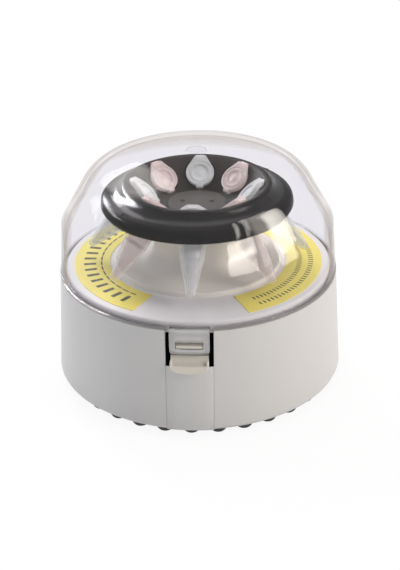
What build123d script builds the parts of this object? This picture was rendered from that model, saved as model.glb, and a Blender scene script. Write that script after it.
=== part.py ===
from build123d import *
import math
import os

# Bench-top microcentrifuge for eight small tubes: a tapered round housing on rubber feet, a clear
# domed lid hinged at the rear, a front latch, and a fixed-angle rotor on an upright motor.
# Millimetres, +Z up. The origin is on the rotor's axis at the bench; the latch faces -Y.
# The tubes and the motor are the given sizes. The rotor follows from the tubes, the heights from
# the board and the motor up, and the deck, the housing, the lid and the latch from the rotor.

# Clearances and joins
fit_gap = 0.3                # between parts that lie close but don't touch
slide_gap = 0.05             # radial clearance of a turning fit
shaft_gap = 0.02             # radial clearance of the motor shaft in its bearings
mount_gap = 0.1              # around a piece pushed through a wall
pilot_gap = 0.05             # around a screw's shank
over_cut = 1.0               # how far a cutting shape runs past the face it opens
fuse_depth = 0.5             # how far a fused piece runs into its neighbour

# Tubes
tube_count = 8
tube_radius = 5.4
tube_gap = 0.1
tube_wall = 0.95
tube_length = 35.0           # below its collar
tube_straight = 17.0
tube_tip_radius = 2.0
collar_flare = 0.8
collar_radius = tube_radius + collar_flare
collar_thickness = 1.2
cap_overhang = 0.2
cap_radius = collar_radius + cap_overhang
cap_thickness = 2.1
collar_lobe = 0.5
collar_hinge_reach = cap_radius + collar_lobe
cap_lobe = 1.8
cap_hinge_reach = cap_radius + cap_lobe
cap_hinge_width = 5.0
cap_tab_length = 1.0
cap_tab_reach = cap_radius + cap_tab_length
cap_tab_width = 3.2
cap_shoulder_angle = 50.0    # where the hinge's sides leave the cap's round
cap_ring_inset = 1.8
cap_ring_radius = tube_radius - cap_ring_inset
cap_ring_depth = 0.5
plug_depth = 3.0
plug_wall = 0.9

# Base plate, feet and screws, heights
foot_height = 4.0            # bench to the housing's lower edge
feet_ring_thickness = 1.0
plate_thickness = 2.5
plate_low = foot_height + feet_ring_thickness
plate_top = plate_low + plate_thickness
screw_radius = 1.2
screw_head_radius = 2.7
screw_head_height = 1.6
screw_length = 9.0

# Circuit board
board_length = 52.0
board_width = 40.0
board_thickness = 1.6
board_y = 8.0
board_rise = 5.0
board_inset = 3.5
board_top = plate_top + board_rise + board_thickness
standoff_radius = 3.0
board_screw_head = 2.3
capacitor_radius = 5.0
capacitor_height = 12.0
capacitor_place = (15.0, 8.0)
coil_radius = 4.0
coil_height = 6.0
coil_place = (-14.0, 2.0)
driver_size = (12.0, 10.0, 6.5)
driver_place = (0.0, -10.0)
header_height = 7.0
motor_header = (12.0, 5.0)
motor_header_place = (-2.0, 15.5)
power_header = (8.0, 5.0)
power_header_place = (18.0, -5.5)

# Motor and its carrier
shaft_radius = 1.6
can_radius = 13.85
can_wall = 0.95
can_length = 33.0
wire_room = 5.5              # between the board's headers and the motor's terminals
terminal_place = 9.5
terminal_thickness = 0.8
terminal_width = 2.8
terminal_length = 4.0
end_cap_thickness = 2.4
end_cap_spigot = 1.2
end_boss_height = 2.6
end_boss_radius = 4.2
end_boss_floor = 0.8
can_bottom = board_top + header_height + wire_room + terminal_length + end_cap_thickness
can_top = can_bottom + can_length
can_boss_radius = 5.0
can_boss_height = 1.6
bush_radius = 3.0
bush_length = 4.5
magnet_thickness = 2.2
magnet_rise = 6.0
magnet_low = can_bottom + magnet_rise
magnet_top_room = 5.0
magnet_high = can_top - magnet_top_room
magnet_angle = 140.0
armature_gap = 0.68          # between the armature and the magnets
armature_radius = can_radius - can_wall - shaft_gap - magnet_thickness - armature_gap
armature_inset = 3.0
armature_low = magnet_low + armature_inset
armature_high = magnet_high - armature_inset
armature_slots = 5
armature_slot_floor = 4.5    # from the shaft's axis
armature_slot_lip = 1.4
armature_slot_roof = armature_radius - armature_slot_lip
armature_slot_width = 4.4
armature_slot_mouth = 2.0
commutator_radius = 3.6
commutator_rise = 2.6
commutator_low = can_bottom + commutator_rise
commutator_length = 4.0
commutator_high = commutator_low + commutator_length
commutator_riser = 0.8
cradle_wall = 1.4
motor_screw_place = 8.0
motor_screw_head = 2.2
motor_screw_radius = 1.25
motor_screw_head_height = 0.7
motor_screw_depth = 1.5

# Motor cover's drum
drum_air = 1.85              # around the cradle
drum_wall = 2.2
drum_roof = 2.0
drum_room = 0.4              # over the motor screws
drum_radius = can_radius + fit_gap + cradle_wall + drum_air + drum_wall
drum_height = can_top + cradle_wall + motor_screw_head_height + drum_room + drum_roof
drum_round = 1.0
drum_hole_gap = 1.8
drum_hole = shaft_radius + drum_hole_gap

# Rotor, radii from the tubes and heights from the drum
rotor_gap = 1.5              # between the drum and the rotor
seat_sink = 0.4
seat_margin = 1.0            # around a tube's cap
seat_web = 3.38              # between neighbouring seats
seat_clear = 6.0             # open space cut above each seat
seat_face_radius = cap_radius + seat_margin
tube_seat_radius = (2 * seat_face_radius + seat_web) / (2 * math.sin(math.pi / tube_count))
sleeve_wall = 1.5
sleeve_radius = tube_radius + tube_gap + sleeve_wall
sleeve_length = 9.0
bore_depth = 17.0            # of each tube's bore below its seat
rotor_bottom = drum_height + rotor_gap
bowl_drop = 11.0
bowl_level = rotor_bottom - bowl_drop  # where the bowl's 45 degree cone would meet the axis
bowl_floor_rise = 3.4
bowl_floor = rotor_bottom + bowl_floor_rise
bowl_web = 3.4               # web thickness square to the cone
boss_foot_gap = 1.4
boss_radius = bowl_floor - bowl_level - boss_foot_gap
boss_rise = 10.0
boss_height = rotor_bottom + boss_rise
boss_round = 1.0
boss_draft = 0.4
dimple_radius = 1.3
dimple_depth = 2.5
dimple_place = boss_radius / 2
hub_flats = 8.6
hub_rise = 7.8
hub_top = rotor_bottom + hub_rise
lip_margin = 6.15
lip_radius = tube_seat_radius + lip_margin
crest_reach = 1.7
crest_radius = lip_radius + crest_reach
crest_lift = 0.6
crest_height = lip_radius + bowl_level + crest_lift
crest_run = 1.7              # from the crest out to where the shoulder starts
crest_fall = 0.9
shoulder_slope = (0.6, -1)   # direction of the shoulder where it starts
valley_reach = 3.8
valley_radius = crest_radius + valley_reach
valley_fall = 3.2
valley_height = crest_height - valley_fall
bulge_reach = 4.9
shoulder_bulge_radius = valley_radius + bulge_reach
bulge_fall = 1.7
shoulder_bulge_height = valley_height - bulge_fall
shoulder_reach = 2.3
rotor_radius = shoulder_bulge_radius + shoulder_reach
shoulder_fall = 4.4
rotor_widest_height = shoulder_bulge_height - shoulder_fall
rotor_edge_inset = 0.8
rotor_edge_radius = rotor_radius - rotor_edge_inset
rotor_edge_fall = 1.5
rotor_edge_height = rotor_widest_height - rotor_edge_fall
rotor_skirt = 2.3
skirt_draft = 0.6
skirt_rise = 3.6
under_inset = 1.5            # underside of the shoulder, in from the valley
lip_web = 1.2                # underside of the rim, out from its lip

# Housing, around and below the tubes' tips
wall = 2.4                   # housing wall
swing_gap = 5.51             # between the tubes' tips and the deck
swing_room = 12.0            # from the tubes' tips out to the lid seam
tip_reach = (seat_sink + tube_length) * math.sqrt(0.5)
tip_corner = tube_tip_radius * math.sqrt(0.5)
deck_height = tube_seat_radius + bowl_level - tip_reach - tip_corner / 2 - swing_gap
rim_sink = 2.75
rim_height = deck_height - rim_sink  # bench to the lid seam
rim_radius = tube_seat_radius + tip_reach + tip_corner + swing_room
wall_flare = 2.8
base_radius = rim_radius + wall_flare  # housing at its lower edge
lower_edge_round = 1.3
root_depth = 1.8             # how far the hinge ears run into the housing's wall

# Deck
deck_inset = 2.9
deck_radius = rim_radius - deck_inset
deck_plate = 2.2
deck_skirt = 2.0
deck_edge_round = 1.2
ledge_sink = 2.25
ledge_height = rim_height - ledge_sink  # top of the housing's inner ledge, where the deck sits
ledge_thickness = 2.0
ledge_width = 3.7
ledge_reach = deck_radius - ledge_width  # inner radius of the ledge
ledge_gusset = 3.0           # height of the slope under the ledge
opening_gap = 4.4
deck_opening = drum_radius + opening_gap
pillar_count = 4
pillar_inset = 13.3
pillar_place = deck_radius - pillar_inset
pillar_radius = 4.0

# Motor cover's flange and cove
cove_radius = 8.0
flange_width = 9.8
flange_radius = drum_radius + cove_radius + flange_width
flange_thickness = 2.0
flange_round = 0.6
spigot_depth = 3.2
barb_depth = 0.7
barb_angle = 20.0
barb_count = 3
label_gap = 2.4
label_inner = flange_radius + label_gap
label_margin = 3.6
label_outer = deck_radius - label_margin
label_thickness = 0.25
label_front_angle = 26.0     # from the latch line to each label's near end
label_rear_angle = 145.0     # from the latch line to each label's far end

# Motor dampers under the deck
damper_count = 3
damper_margin = 7.0
damper_place = deck_opening + damper_margin
damper_radius = 4.5
damper_neck = 3.1
damper_lip = 1.6
damper_screw_radius = 1.2
damper_screw_head = 3.6
damper_boss_radius = 3.6
cradle_flange_margin = 5.0
cradle_flange_radius = damper_place + cradle_flange_margin
cradle_flange_drop = 9.5
cradle_flange_height = deck_height - cradle_flange_drop

# Base plate and feet, radii
plate_inset = 2.0
plate_radius = base_radius - plate_inset
feet_ring_width = 10.0
feet_ring_inner = plate_radius - feet_ring_width
foot_count = 32
foot_inset = 4.6
foot_place = plate_radius - foot_inset
foot_radius = 4.3
foot_flat_radius = 1.85

# Lid, over the rotor
lid_wall = 2.2
lid_bottom = rim_height + fit_gap
bead_step = 0.3
lid_wall_radius = rim_radius - bead_step  # outside of the upright wall just above its bead
bead_height = 1.3
lid_draft = 1.9
crease_radius = rim_radius - lid_draft
crease_rise = 2.8
crease_height = rotor_bottom + crease_rise  # bench to the crease between the upright wall and the cone
cone_lean = 29.7             # degrees from upright
corner_round = 18.7          # between the cone and the crown
crown_radius = 144.0
lid_headroom = 14.2
lid_height = crest_height + lid_headroom  # bench to the crown's top
nub_radius = 4.5
nub_height = 0.8
tab_width = 16.9
tab_drop = 11.1              # below the lid seam
tab_bottom = rim_height - tab_drop
tab_corner = 1.5
window_width = 11.6
window_rise = 2.55
window_low = tab_bottom + window_rise
window_height = 3.3
window_high = window_low + window_height
window_corner = 0.4

# Latch
slot_play = 3.4
slot_width = tab_width + slot_play
slot_half = slot_width / 2
slot_drop = 5.15
slot_bottom = tab_bottom - slot_drop
slot_ledge_cut = 4.0
slot_back = ledge_reach - slot_ledge_cut  # how far in the slot cuts the ledge, from the rotor's axis
strip_gap = 0.25
strip_top_step = 1.0         # from the slot's bottom down to the strip's flanges
strip_flange_reach = 2.6
strip_flange_thickness = 1.0
lever_play = 4.3
lever_width = slot_width - lever_play
lever_plate_play = 3.6
lever_plate_width = lever_width - lever_plate_play
lever_gap = 0.8
lever_front = rim_radius - lid_wall - lever_gap  # plate's front face, from the rotor's axis
lever_thickness = 2.6
lever_head = 0.8
lever_top = window_high + lever_head
lever_pin_y = lever_front - lever_thickness
lever_pin_drop = 8.5
lever_pin_z = slot_bottom - lever_pin_drop
lever_pin_radius = 1.0
lever_barrel_radius = 2.2
hook_play = 0.8
hook_width = window_width - hook_play
hook_low_gap = 0.5
hook_low = window_low + hook_low_gap
hook_high_gap = 0.6
hook_high = window_high - hook_high_gap
hook_tip_setback = 0.3
hook_tip = rim_radius - hook_tip_setback
hook_nose = 1.1
hook_tip_high = hook_low + hook_nose
thumb_gap = 0.85
thumb_top = tab_bottom - thumb_gap
thumb_ledge = 1.7
thumb_start = lever_front + thumb_ledge  # thumb face under the tab, from the rotor's axis
lip_overhang = 3.7
lip_reach = rim_radius + lip_overhang
lip_thickness = 1.4
lip_inner = lip_reach - lip_thickness
lip_drop = 2.3
lip_bottom = slot_bottom - lip_drop
lip_sag = 3.3
lip_side_bottom = lip_bottom + lip_sag
lip_root_rise = 0.45
lip_root = slot_bottom + lip_root_rise
lip_rise = 1.15
lip_top = lip_root + lip_rise
lip_round = 0.6
lip_draft = 0.3
thumb_hollow = 0.8           # how far the thumb face is hollowed below a straight slope
latch_well_side = 1.6
latch_well_depth = 12.0
latch_well_back = lever_pin_y - latch_well_depth
latch_well_gap = 0.5
latch_well_top = ledge_height - ledge_thickness - latch_well_gap
latch_well_setback = 3.6
latch_well_front = rim_radius - latch_well_setback
latch_well_lead = 2.0        # how far its lower front edge leans back
latch_foot_thickness = 3.0
latch_foot_front_inset = 5.0
latch_foot_front = latch_well_front - latch_foot_front_inset
latch_foot_heel = 2.0
latch_foot_back = latch_well_back - latch_foot_heel
latch_screw_margin = 2.35
latch_screw_x = slot_half + latch_screw_margin
latch_screw_inset = 4.4
latch_screw_y = latch_well_back + latch_screw_inset
latch_foot_margin = 2.5
latch_foot_width = 2 * (latch_screw_x + latch_foot_margin)
spring_thickness = 0.4
spring_width = 5.0
spring_foot_gap = 2.0        # above the latch well's floor
spring_foot = 6.0
spring_tip_drop = 2.0        # below the thumb lip's root
spring_curl = 1.2

# Lid interlock
sensor_width = 5.8
sensor_x = 0.7
sensor_depth = 6.5
sensor_height = 12.8
sensor_rise = 10.5
sensor_low = lever_pin_z + sensor_rise
sensor_shelf = 1.2
sensor_shelf_setback = 2.0
sensor_arm = 2.0
stub_end_gap = 0.1
feeler_pivot_gap = 0.6
feeler_pivot_y = latch_well_back + latch_well_side + sensor_depth + feeler_pivot_gap
feeler_pivot_rise = 1.5
feeler_pivot_z = sensor_low + feeler_pivot_rise
feeler_pivot_radius = 0.5
feeler_barrel = 1.1
feeler_width = 1.2
feeler_thickness = 0.6
feeler_tip_rise = 6.95
feeler_tip_z = tab_bottom + feeler_tip_rise
feeler_nose = 1.0
feeler_gap = 0.3

# Hinge
hinge_reach = 6.8
hinge_y = rim_radius + hinge_reach
hinge_sink = 3.75
hinge_z = rim_height - hinge_sink
hinge_pin_radius = 1.5
hinge_barrel_radius = 3.6
lug_width = 18.0
ear_width = 6.0
ear_drop = 12.0
ear_foot_z = hinge_z - ear_drop
lug_root_rise = 7.75
lug_root_top = rim_height + lug_root_rise
lug_root_depth = 1.4
lug_relief = 0.5             # keeps the lug's heel clear of the housing as it turns

# Rear recess with the power inlet and the rocker switch
recess_width = 44.0
recess_rise = 4.5
recess_low = plate_top + recess_rise
recess_height = 20.0
recess_high = recess_low + recess_height
recess_depth = 3.4
recess_floor = rim_radius - recess_depth
jack_x = 12.0
jack_barrel_radius = 4.0
jack_bore_radius = 2.8
jack_pin_radius = 1.05
jack_depth = 12.0
jack_nut_flats = 11.0
jack_nut_thickness = 1.8
jack_lip = 0.6               # barrel beyond its nut
jack_pin_setback = 1.0
jack_block = 10.0
switch_x = -9.5
bezel_length = 21.0
bezel_width = 15.0
bezel_thickness = 2.0
bezel_overlap = 2.0
switch_body_length = bezel_length - bezel_overlap
switch_body_width = bezel_width - bezel_overlap
switch_body_depth = 13.0
switch_well_depth = 8.0
blade_place = 5.0
blade_thickness = 0.8
blade_width = 4.8
blade_length = 7.0
rocker_gap = 0.45
rocker_end_gap = 2.2
rocker_half = bezel_length / 2 - rocker_end_gap
rocker_side_gap = 3.6
rocker_width = bezel_width - rocker_side_gap
rocker_tilt = 8.0
rocker_pivot_radius = 0.9
rocker_pivot_stub = 0.8
rocker_pivot_length = rocker_width + rocker_pivot_stub
rocker_axis_depth = 1.4      # below the bezel's face
rocker_end_rise = 2.4
rocker_middle_rise = 1.5
rocker_side = 1.5
rocker_tail = 4.4
rocker_tail_half = 2.0

# Planes and radii that several pieces share
front_plane = Plane(origin=(0, 0, 0), x_dir=(0, -1, 0), z_dir=(-1, 0, 0))
straight_wall = deck_radius + fit_gap


def housing_radius(height):
    """Outside radius of the tapered housing at a height above the bench."""
    share = (height - foot_height) / (rim_height - foot_height)
    return base_radius + (rim_radius - base_radius) * share


def turned(outline):
    """Solid of revolution about the rotor's axis from a closed outline of (radius, height)."""
    return revolve(Plane.XZ * make_face(outline), Axis.Z)


def closed(*points):
    """Closed outline through the points."""
    return Polyline(*points, close=True)


def rod(radius, low, high, x=0, y=0):
    """Upright round bar between two heights."""
    return Pos(x, y, low) * Cylinder(radius, high - low, align=(Align.CENTER, Align.CENTER, Align.MIN))


def hole(radius, low, high, x=0, y=0):
    """Upright round cutter that runs past both faces it opens."""
    return rod(radius, low - over_cut, high + over_cut, x, y)


def block(x_low, x_high, y_low, y_high, z_low, z_high):
    """Box between two corners."""
    box = Box(x_high - x_low, y_high - y_low, z_high - z_low, align=(Align.MIN, Align.MIN, Align.MIN))
    return Pos(x_low, y_low, z_low) * box


def side_profile(outline, width, x=0):
    """Extrude an outline of (distance towards the front, height) across the machine."""
    return Pos(x, 0, 0) * extrude(front_plane * make_face(outline), width / 2, both=True)


def rear_profile(outline, width, x=0):
    """Extrude an outline of (distance towards the rear, height) across the machine."""
    return Pos(x, 0, 0) * extrude(Plane.YZ * make_face(outline), width / 2, both=True)


def cross_rod(radius, width, y, z, x=0):
    """Round bar that lies across the machine."""
    return Pos(x, y, z) * Rot(0, 90, 0) * Cylinder(radius, width)


def around(count, place, start=0):
    """Angle and place of each of a ring of equal pieces."""
    for index in range(count):
        angle = start + 360 * index / count
        yield angle, place * math.cos(math.radians(angle)), place * math.sin(math.radians(angle))


def sector(inner, outer, low, high, start, end):
    """Part of a ring between two angles, measured from the front towards +X."""
    ring = rod(outer, low, high) - hole(inner, low, high)
    reach = 3 * outer
    middle = (start + end) / 2
    corners = [(0, 0)]
    for angle in (start, (start + middle) / 2, middle, (middle + end) / 2, end):
        turn = math.radians(angle)
        corners.append((reach * math.sin(turn), -reach * math.cos(turn)))
    return ring & extrude(Pos(0, 0, low) * make_face(closed(*corners)), high - low)


def housing_wall():
    """The whole tapered wall with its ledge, before anything is cut in it."""
    taper = housing_radius(rim_height) - housing_radius(foot_height)
    lean = taper / (rim_height - foot_height)
    ledge_low = ledge_height - ledge_thickness
    ledge_root = ledge_low - ledge_gusset
    outline = closed(
        (base_radius, foot_height),
        (rim_radius, rim_height),
        (straight_wall, rim_height),
        (straight_wall, ledge_height),
        (ledge_reach, ledge_height),
        (ledge_reach, ledge_low),
        (housing_radius(ledge_root) - wall, ledge_root),
        (base_radius + lean * (plate_top - foot_height) - wall, plate_top),
        (plate_radius + fit_gap, plate_top),
        (plate_radius + fit_gap, foot_height),
    )
    body = turned(outline)
    lower_edge = body.edges().filter_by(GeomType.CIRCLE).group_by(Axis.Z)[0].sort_by(SortBy.RADIUS)[-1]
    return fillet(lower_edge, lower_edge_round)


def solid_taper():
    """Everything inside the housing's outside surface."""
    corners = [(0, foot_height), (base_radius, foot_height), (rim_radius, rim_height), (0, rim_height)]
    return turned(closed(*corners))


def rear_recess_wall():
    """Flat-floored recess in the housing's rear: the wall that it adds and the space it cuts."""
    half = recess_width / 2
    outer = half + wall
    low, high = recess_low - wall, recess_high + wall
    pad = block(-outer, outer, recess_floor - wall, base_radius, low, high)
    space = block(-half, half, recess_floor, base_radius + over_cut, recess_low, recess_high)
    return pad & solid_taper(), space


def hinge_ear(side):
    """One of the two ears behind the housing that carry the hinge pin."""
    x = side * (lug_width / 2 + fit_gap + ear_width / 2)
    root = housing_radius(hinge_z) - root_depth
    plate = rear_profile(
        closed(
            (root, rim_height - fit_gap),
            (hinge_y, hinge_z + hinge_barrel_radius),
            (hinge_y, hinge_z - hinge_barrel_radius),
            (root, ear_foot_z),
        ),
        ear_width,
        x,
    )
    return plate + cross_rod(hinge_barrel_radius, ear_width, hinge_y, hinge_z, x)


def make_housing_shell():
    """Round housing: tapered wall, inner ledge, rear recess, hinge ears and the front slot."""
    pad, space = rear_recess_wall()
    body = housing_wall() + pad - space
    for side in (-1, 1):
        body += hinge_ear(side)
    body -= cross_rod(hinge_pin_radius + shaft_gap, 3 * lug_width, hinge_y, hinge_z)
    front = -base_radius - over_cut
    body -= block(-slot_half, slot_half, front, -slot_back, foot_height - over_cut, rim_height + over_cut)
    body -= jack_hole()
    body -= switch_hole()
    return body


def make_front_strip():
    """Strip below the latch slot, flush with the housing, with flanges behind the housing's wall."""
    half = slot_half - strip_gap
    face = housing_wall() & block(-half, half, -base_radius - over_cut, 0, foot_height, slot_bottom)
    gap = fit_gap / 2
    low = plate_top + fit_gap
    high = slot_bottom - strip_top_step

    def band(near, far):
        """Ring that follows the inside of the tapered wall."""
        return turned(
            closed(
                (housing_radius(low) - wall - near, low),
                (housing_radius(high) - wall - near, high),
                (housing_radius(high) - wall - far, high),
                (housing_radius(low) - wall - far, low),
            )
        )

    wings = band(gap, gap + strip_flange_thickness)
    wide = half + strip_flange_reach
    wings &= block(-wide, wide, -base_radius, 0, low, high)
    root = band(0, gap) & block(-half, half, -base_radius, 0, low, high)
    return face + root + wings


def make_deck():
    """Inner top of the housing, an upturned pan with pillars for the base screws and damper bosses."""
    low = deck_height - deck_plate
    outline = closed(
        (deck_opening, deck_height),
        (deck_radius, deck_height),
        (deck_radius, ledge_height),
        (deck_radius - deck_skirt, ledge_height),
        (deck_radius - deck_skirt, low),
        (deck_opening, low),
    )
    body = turned(outline)
    top_edges = body.edges().filter_by(GeomType.CIRCLE).group_by(Axis.Z)[-1]
    body = fillet(top_edges.sort_by(SortBy.RADIUS)[-1], deck_edge_round)
    for _, x, y in around(pillar_count, pillar_place, 45):
        body += rod(pillar_radius, plate_top, low + fuse_depth, x, y)
    for _, x, y in around(damper_count, damper_place, 90):
        body += rod(damper_boss_radius, damper_top(), low + fuse_depth, x, y)
    for _, x, y in around(pillar_count, pillar_place, 45):
        body -= hole(screw_radius + pilot_gap, plate_top, plate_low + screw_length, x, y)
    for _, x, y in around(damper_count, damper_place, 90):
        body -= rod(damper_screw_radius + pilot_gap, damper_top() - over_cut, low, x, y)
    return body


def make_deck_label(side):
    """Plain ring-sector label on the deck, left or right of the latch line."""
    top = deck_height + label_thickness
    start, end = sorted((side * label_front_angle, side * label_rear_angle))
    return sector(label_inner, label_outer, deck_height, top, start, end)


def make_motor_cover():
    """Flanged cover over the motor: flange, concave cove and drum, clipped into the deck."""
    flange_top = deck_height + flange_thickness
    cove_start = drum_radius + cove_radius
    cove_top = flange_top + cove_radius
    inner = drum_radius - drum_wall
    spigot = deck_opening - fit_gap
    spigot_low = deck_height - spigot_depth
    middle = cove_radius * (1 - math.sqrt(0.5))
    edge = flange_radius - flange_round
    edge_low = flange_top - flange_round
    top_edge = drum_radius - drum_round
    top_low = drum_height - drum_round
    roof_low = drum_height - drum_roof
    lining = spigot - drum_wall
    outline = [
        Line((spigot, deck_height), (flange_radius, deck_height)),
        Line((flange_radius, deck_height), (flange_radius, edge_low)),
        RadiusArc((flange_radius, edge_low), (edge, flange_top), -flange_round),
        Line((edge, flange_top), (cove_start, flange_top)),
        ThreePointArc(
            (cove_start, flange_top),
            (drum_radius + middle, flange_top + middle),
            (drum_radius, cove_top),
        ),
        Line((drum_radius, cove_top), (drum_radius, top_low)),
        RadiusArc((drum_radius, top_low), (top_edge, drum_height), -drum_round),
        Line((top_edge, drum_height), (drum_hole, drum_height)),
        Line((drum_hole, drum_height), (drum_hole, roof_low)),
        Line((drum_hole, roof_low), (inner, roof_low)),
        Line((inner, roof_low), (inner, flange_top + drum_wall)),
        Line((inner, flange_top + drum_wall), (lining, deck_height)),
        Line((lining, deck_height), (lining, spigot_low)),
        Line((lining, spigot_low), (spigot, spigot_low)),
        Line((spigot, spigot_low), (spigot, deck_height)),
    ]
    body = turned(Curve() + outline)
    barb_top = deck_height - deck_plate - fit_gap / 2
    barb_reach = deck_opening + barb_depth
    half = barb_angle / 2
    barb = sector(spigot - fuse_depth, barb_reach, spigot_low, barb_top, -half, half)
    for angle in range(0, 360, 360 // barb_count):
        body += Rot(0, 0, angle) * barb
    return body


def dome_side(inset):
    """Cone, corner and crown of the lid as three edges, set in by a wall thickness."""
    lean = math.radians(cone_lean)
    along = Vector(-math.sin(lean), math.cos(lean))
    inward = Vector(-math.cos(lean), -math.sin(lean))
    crown_centre = Vector(0, lid_height - crown_radius)
    start = Vector(crease_radius, crease_height) + inward * corner_round
    offset = start - crown_centre
    drop = offset.dot(along)
    reach = crown_radius - corner_round
    corner = start + along * (math.sqrt(drop ** 2 - offset.dot(offset) + reach ** 2) - drop)
    outward = (corner - crown_centre).normalized()
    half_way = (outward - inward).normalized()
    crown_way = (outward + Vector(0, 1)).normalized()
    crease = Vector(crease_radius - inset, crease_height - inset * math.tan(lean / 2))
    cone_end = corner - inward * (corner_round - inset)
    crown_start = corner + outward * (corner_round - inset)
    top = Vector(0, lid_height - inset)
    return [
        Line(crease, cone_end),
        ThreePointArc(cone_end, corner + half_way * (corner_round - inset), crown_start),
        ThreePointArc(crown_start, crown_centre + crown_way * (crown_radius - inset), top),
    ]


def make_lid():
    """Clear lid: upright wall with a bead, cone, rounded crown, nub, latch tab and hinge lug."""
    bead_top = lid_bottom + bead_height
    outside = dome_side(0)
    inside = dome_side(lid_wall)
    outline = [
        Line((rim_radius, lid_bottom), (rim_radius, bead_top)),
        Line((rim_radius, bead_top), (lid_wall_radius, bead_top)),
        Line((lid_wall_radius, bead_top), outside[0] @ 0),
        *outside,
        Line(outside[-1] @ 1, inside[-1] @ 1),
        *inside,
        Line(inside[0] @ 0, (rim_radius - lid_wall, lid_bottom)),
        Line((rim_radius - lid_wall, lid_bottom), (rim_radius, lid_bottom)),
    ]
    body = turned(Curve() + outline)
    body += rod(nub_radius, lid_height - lid_wall / 2, lid_height + nub_height)
    body += latch_tab()
    body += hinge_lug()
    return body - cross_rod(hinge_pin_radius + slide_gap, 3 * lug_width, hinge_y, hinge_z)


def latch_tab():
    """Tab that hangs from the lid's front, with rounded lower corners and the hook's window."""
    face = Pos(0, (tab_bottom + lid_bottom) / 2) * Rectangle(tab_width, lid_bottom - tab_bottom)
    face = fillet(face.vertices().group_by(Axis.Y)[0], tab_corner)
    window_middle = (window_low + window_high) / 2
    window = RectangleRounded(window_width, window_high - window_low, window_corner)
    slab = extrude(Plane.XZ * (face - Pos(0, window_middle) * window), rim_radius + over_cut)
    inside = rod(rim_radius - lid_wall, 0, lid_height)
    return slab & rod(rim_radius, 0, lid_height) - inside


def hinge_lug():
    """Lug behind the lid that turns on the hinge pin."""
    root = rim_radius - lug_root_depth
    arm = rear_profile(
        closed(
            (root, lid_bottom),
            (root, lug_root_top),
            (hinge_y, hinge_z + hinge_barrel_radius),
            (hinge_y, hinge_z - hinge_barrel_radius + lug_relief),
            (hinge_y - hinge_barrel_radius, hinge_z),
            (rim_radius + 2 * fit_gap, lid_bottom),
        ),
        lug_width,
    )
    return arm + cross_rod(hinge_barrel_radius, lug_width, hinge_y, hinge_z)


def make_hinge_pin():
    """Steel pin through the ears and the lug."""
    length = lug_width + 2 * (fit_gap + ear_width)
    return cross_rod(hinge_pin_radius, length, hinge_y, hinge_z)


def make_latch_lever():
    """Latch lever: pin barrel, plate, hook in the tab's window, concave thumb face and curved lip."""
    back = lever_front - lever_thickness
    inner = lever_front - fuse_depth
    barrel = cross_rod(lever_barrel_radius, lever_width, -lever_pin_y, lever_pin_z)
    leg = side_profile(
        closed(
            (back, lever_pin_z),
            (lever_front, lever_pin_z),
            (lever_front, thumb_top),
            (back, thumb_top),
        ),
        lever_width,
    )
    plate = side_profile(
        closed(
            (back, thumb_top - fuse_depth),
            (lever_front, thumb_top - fuse_depth),
            (lever_front, lever_top),
            (back, lever_top),
        ),
        lever_plate_width,
    )
    hook = side_profile(
        closed(
            (inner, hook_low),
            (hook_tip, hook_low),
            (hook_tip, hook_tip_high),
            (inner, hook_high),
        ),
        hook_width,
    )
    hollow_y = (thumb_start + lip_reach) / 2 - thumb_hollow
    hollow_z = (thumb_top + lip_top) / 2 - thumb_hollow
    lip_edge = lip_reach - lip_round
    lip_side = lip_top - lip_round
    lip_low = lip_bottom - over_cut
    thumb_outline = [
        Line((inner, thumb_top), (thumb_start, thumb_top)),
        ThreePointArc((thumb_start, thumb_top), (hollow_y, hollow_z), (lip_edge, lip_top)),
        RadiusArc((lip_edge, lip_top), (lip_reach, lip_side), lip_round),
        Line((lip_reach, lip_side), (lip_reach - lip_draft, lip_low)),
        Line((lip_reach - lip_draft, lip_low), (lip_inner, lip_low)),
        Line((lip_inner, lip_low), (lip_inner, lip_root)),
        Line((lip_inner, lip_root), (inner, lip_root)),
        Line((inner, lip_root), (inner, thumb_top)),
    ]
    thumb = side_profile(Curve() + thumb_outline, lever_width)
    return barrel + leg + plate + hook + (thumb & lip_curve()) - lever_bore()


def lip_curve():
    """Upright-view curve that rounds the lip's lower edge."""
    sag = lip_side_bottom - lip_bottom
    radius = ((lever_width / 2) ** 2 + sag ** 2) / (2 * sag)
    disc = Pos(0, 0, lip_bottom + radius) * Rot(90, 0, 0) * Cylinder(radius, 4 * rim_radius)
    return disc


def lever_bore():
    """Turning fit of the lever on its pin."""
    return cross_rod(lever_pin_radius + slide_gap, 2 * lever_width, -lever_pin_y, lever_pin_z)


def make_latch_pin():
    """Pin across the latch well."""
    inner = lever_width + 2 * (slot_half - lever_width / 2 - latch_well_side)
    length = inner + 2 * latch_well_side - 2 * fit_gap
    return cross_rod(lever_pin_radius, length, -lever_pin_y, lever_pin_z)


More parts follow.
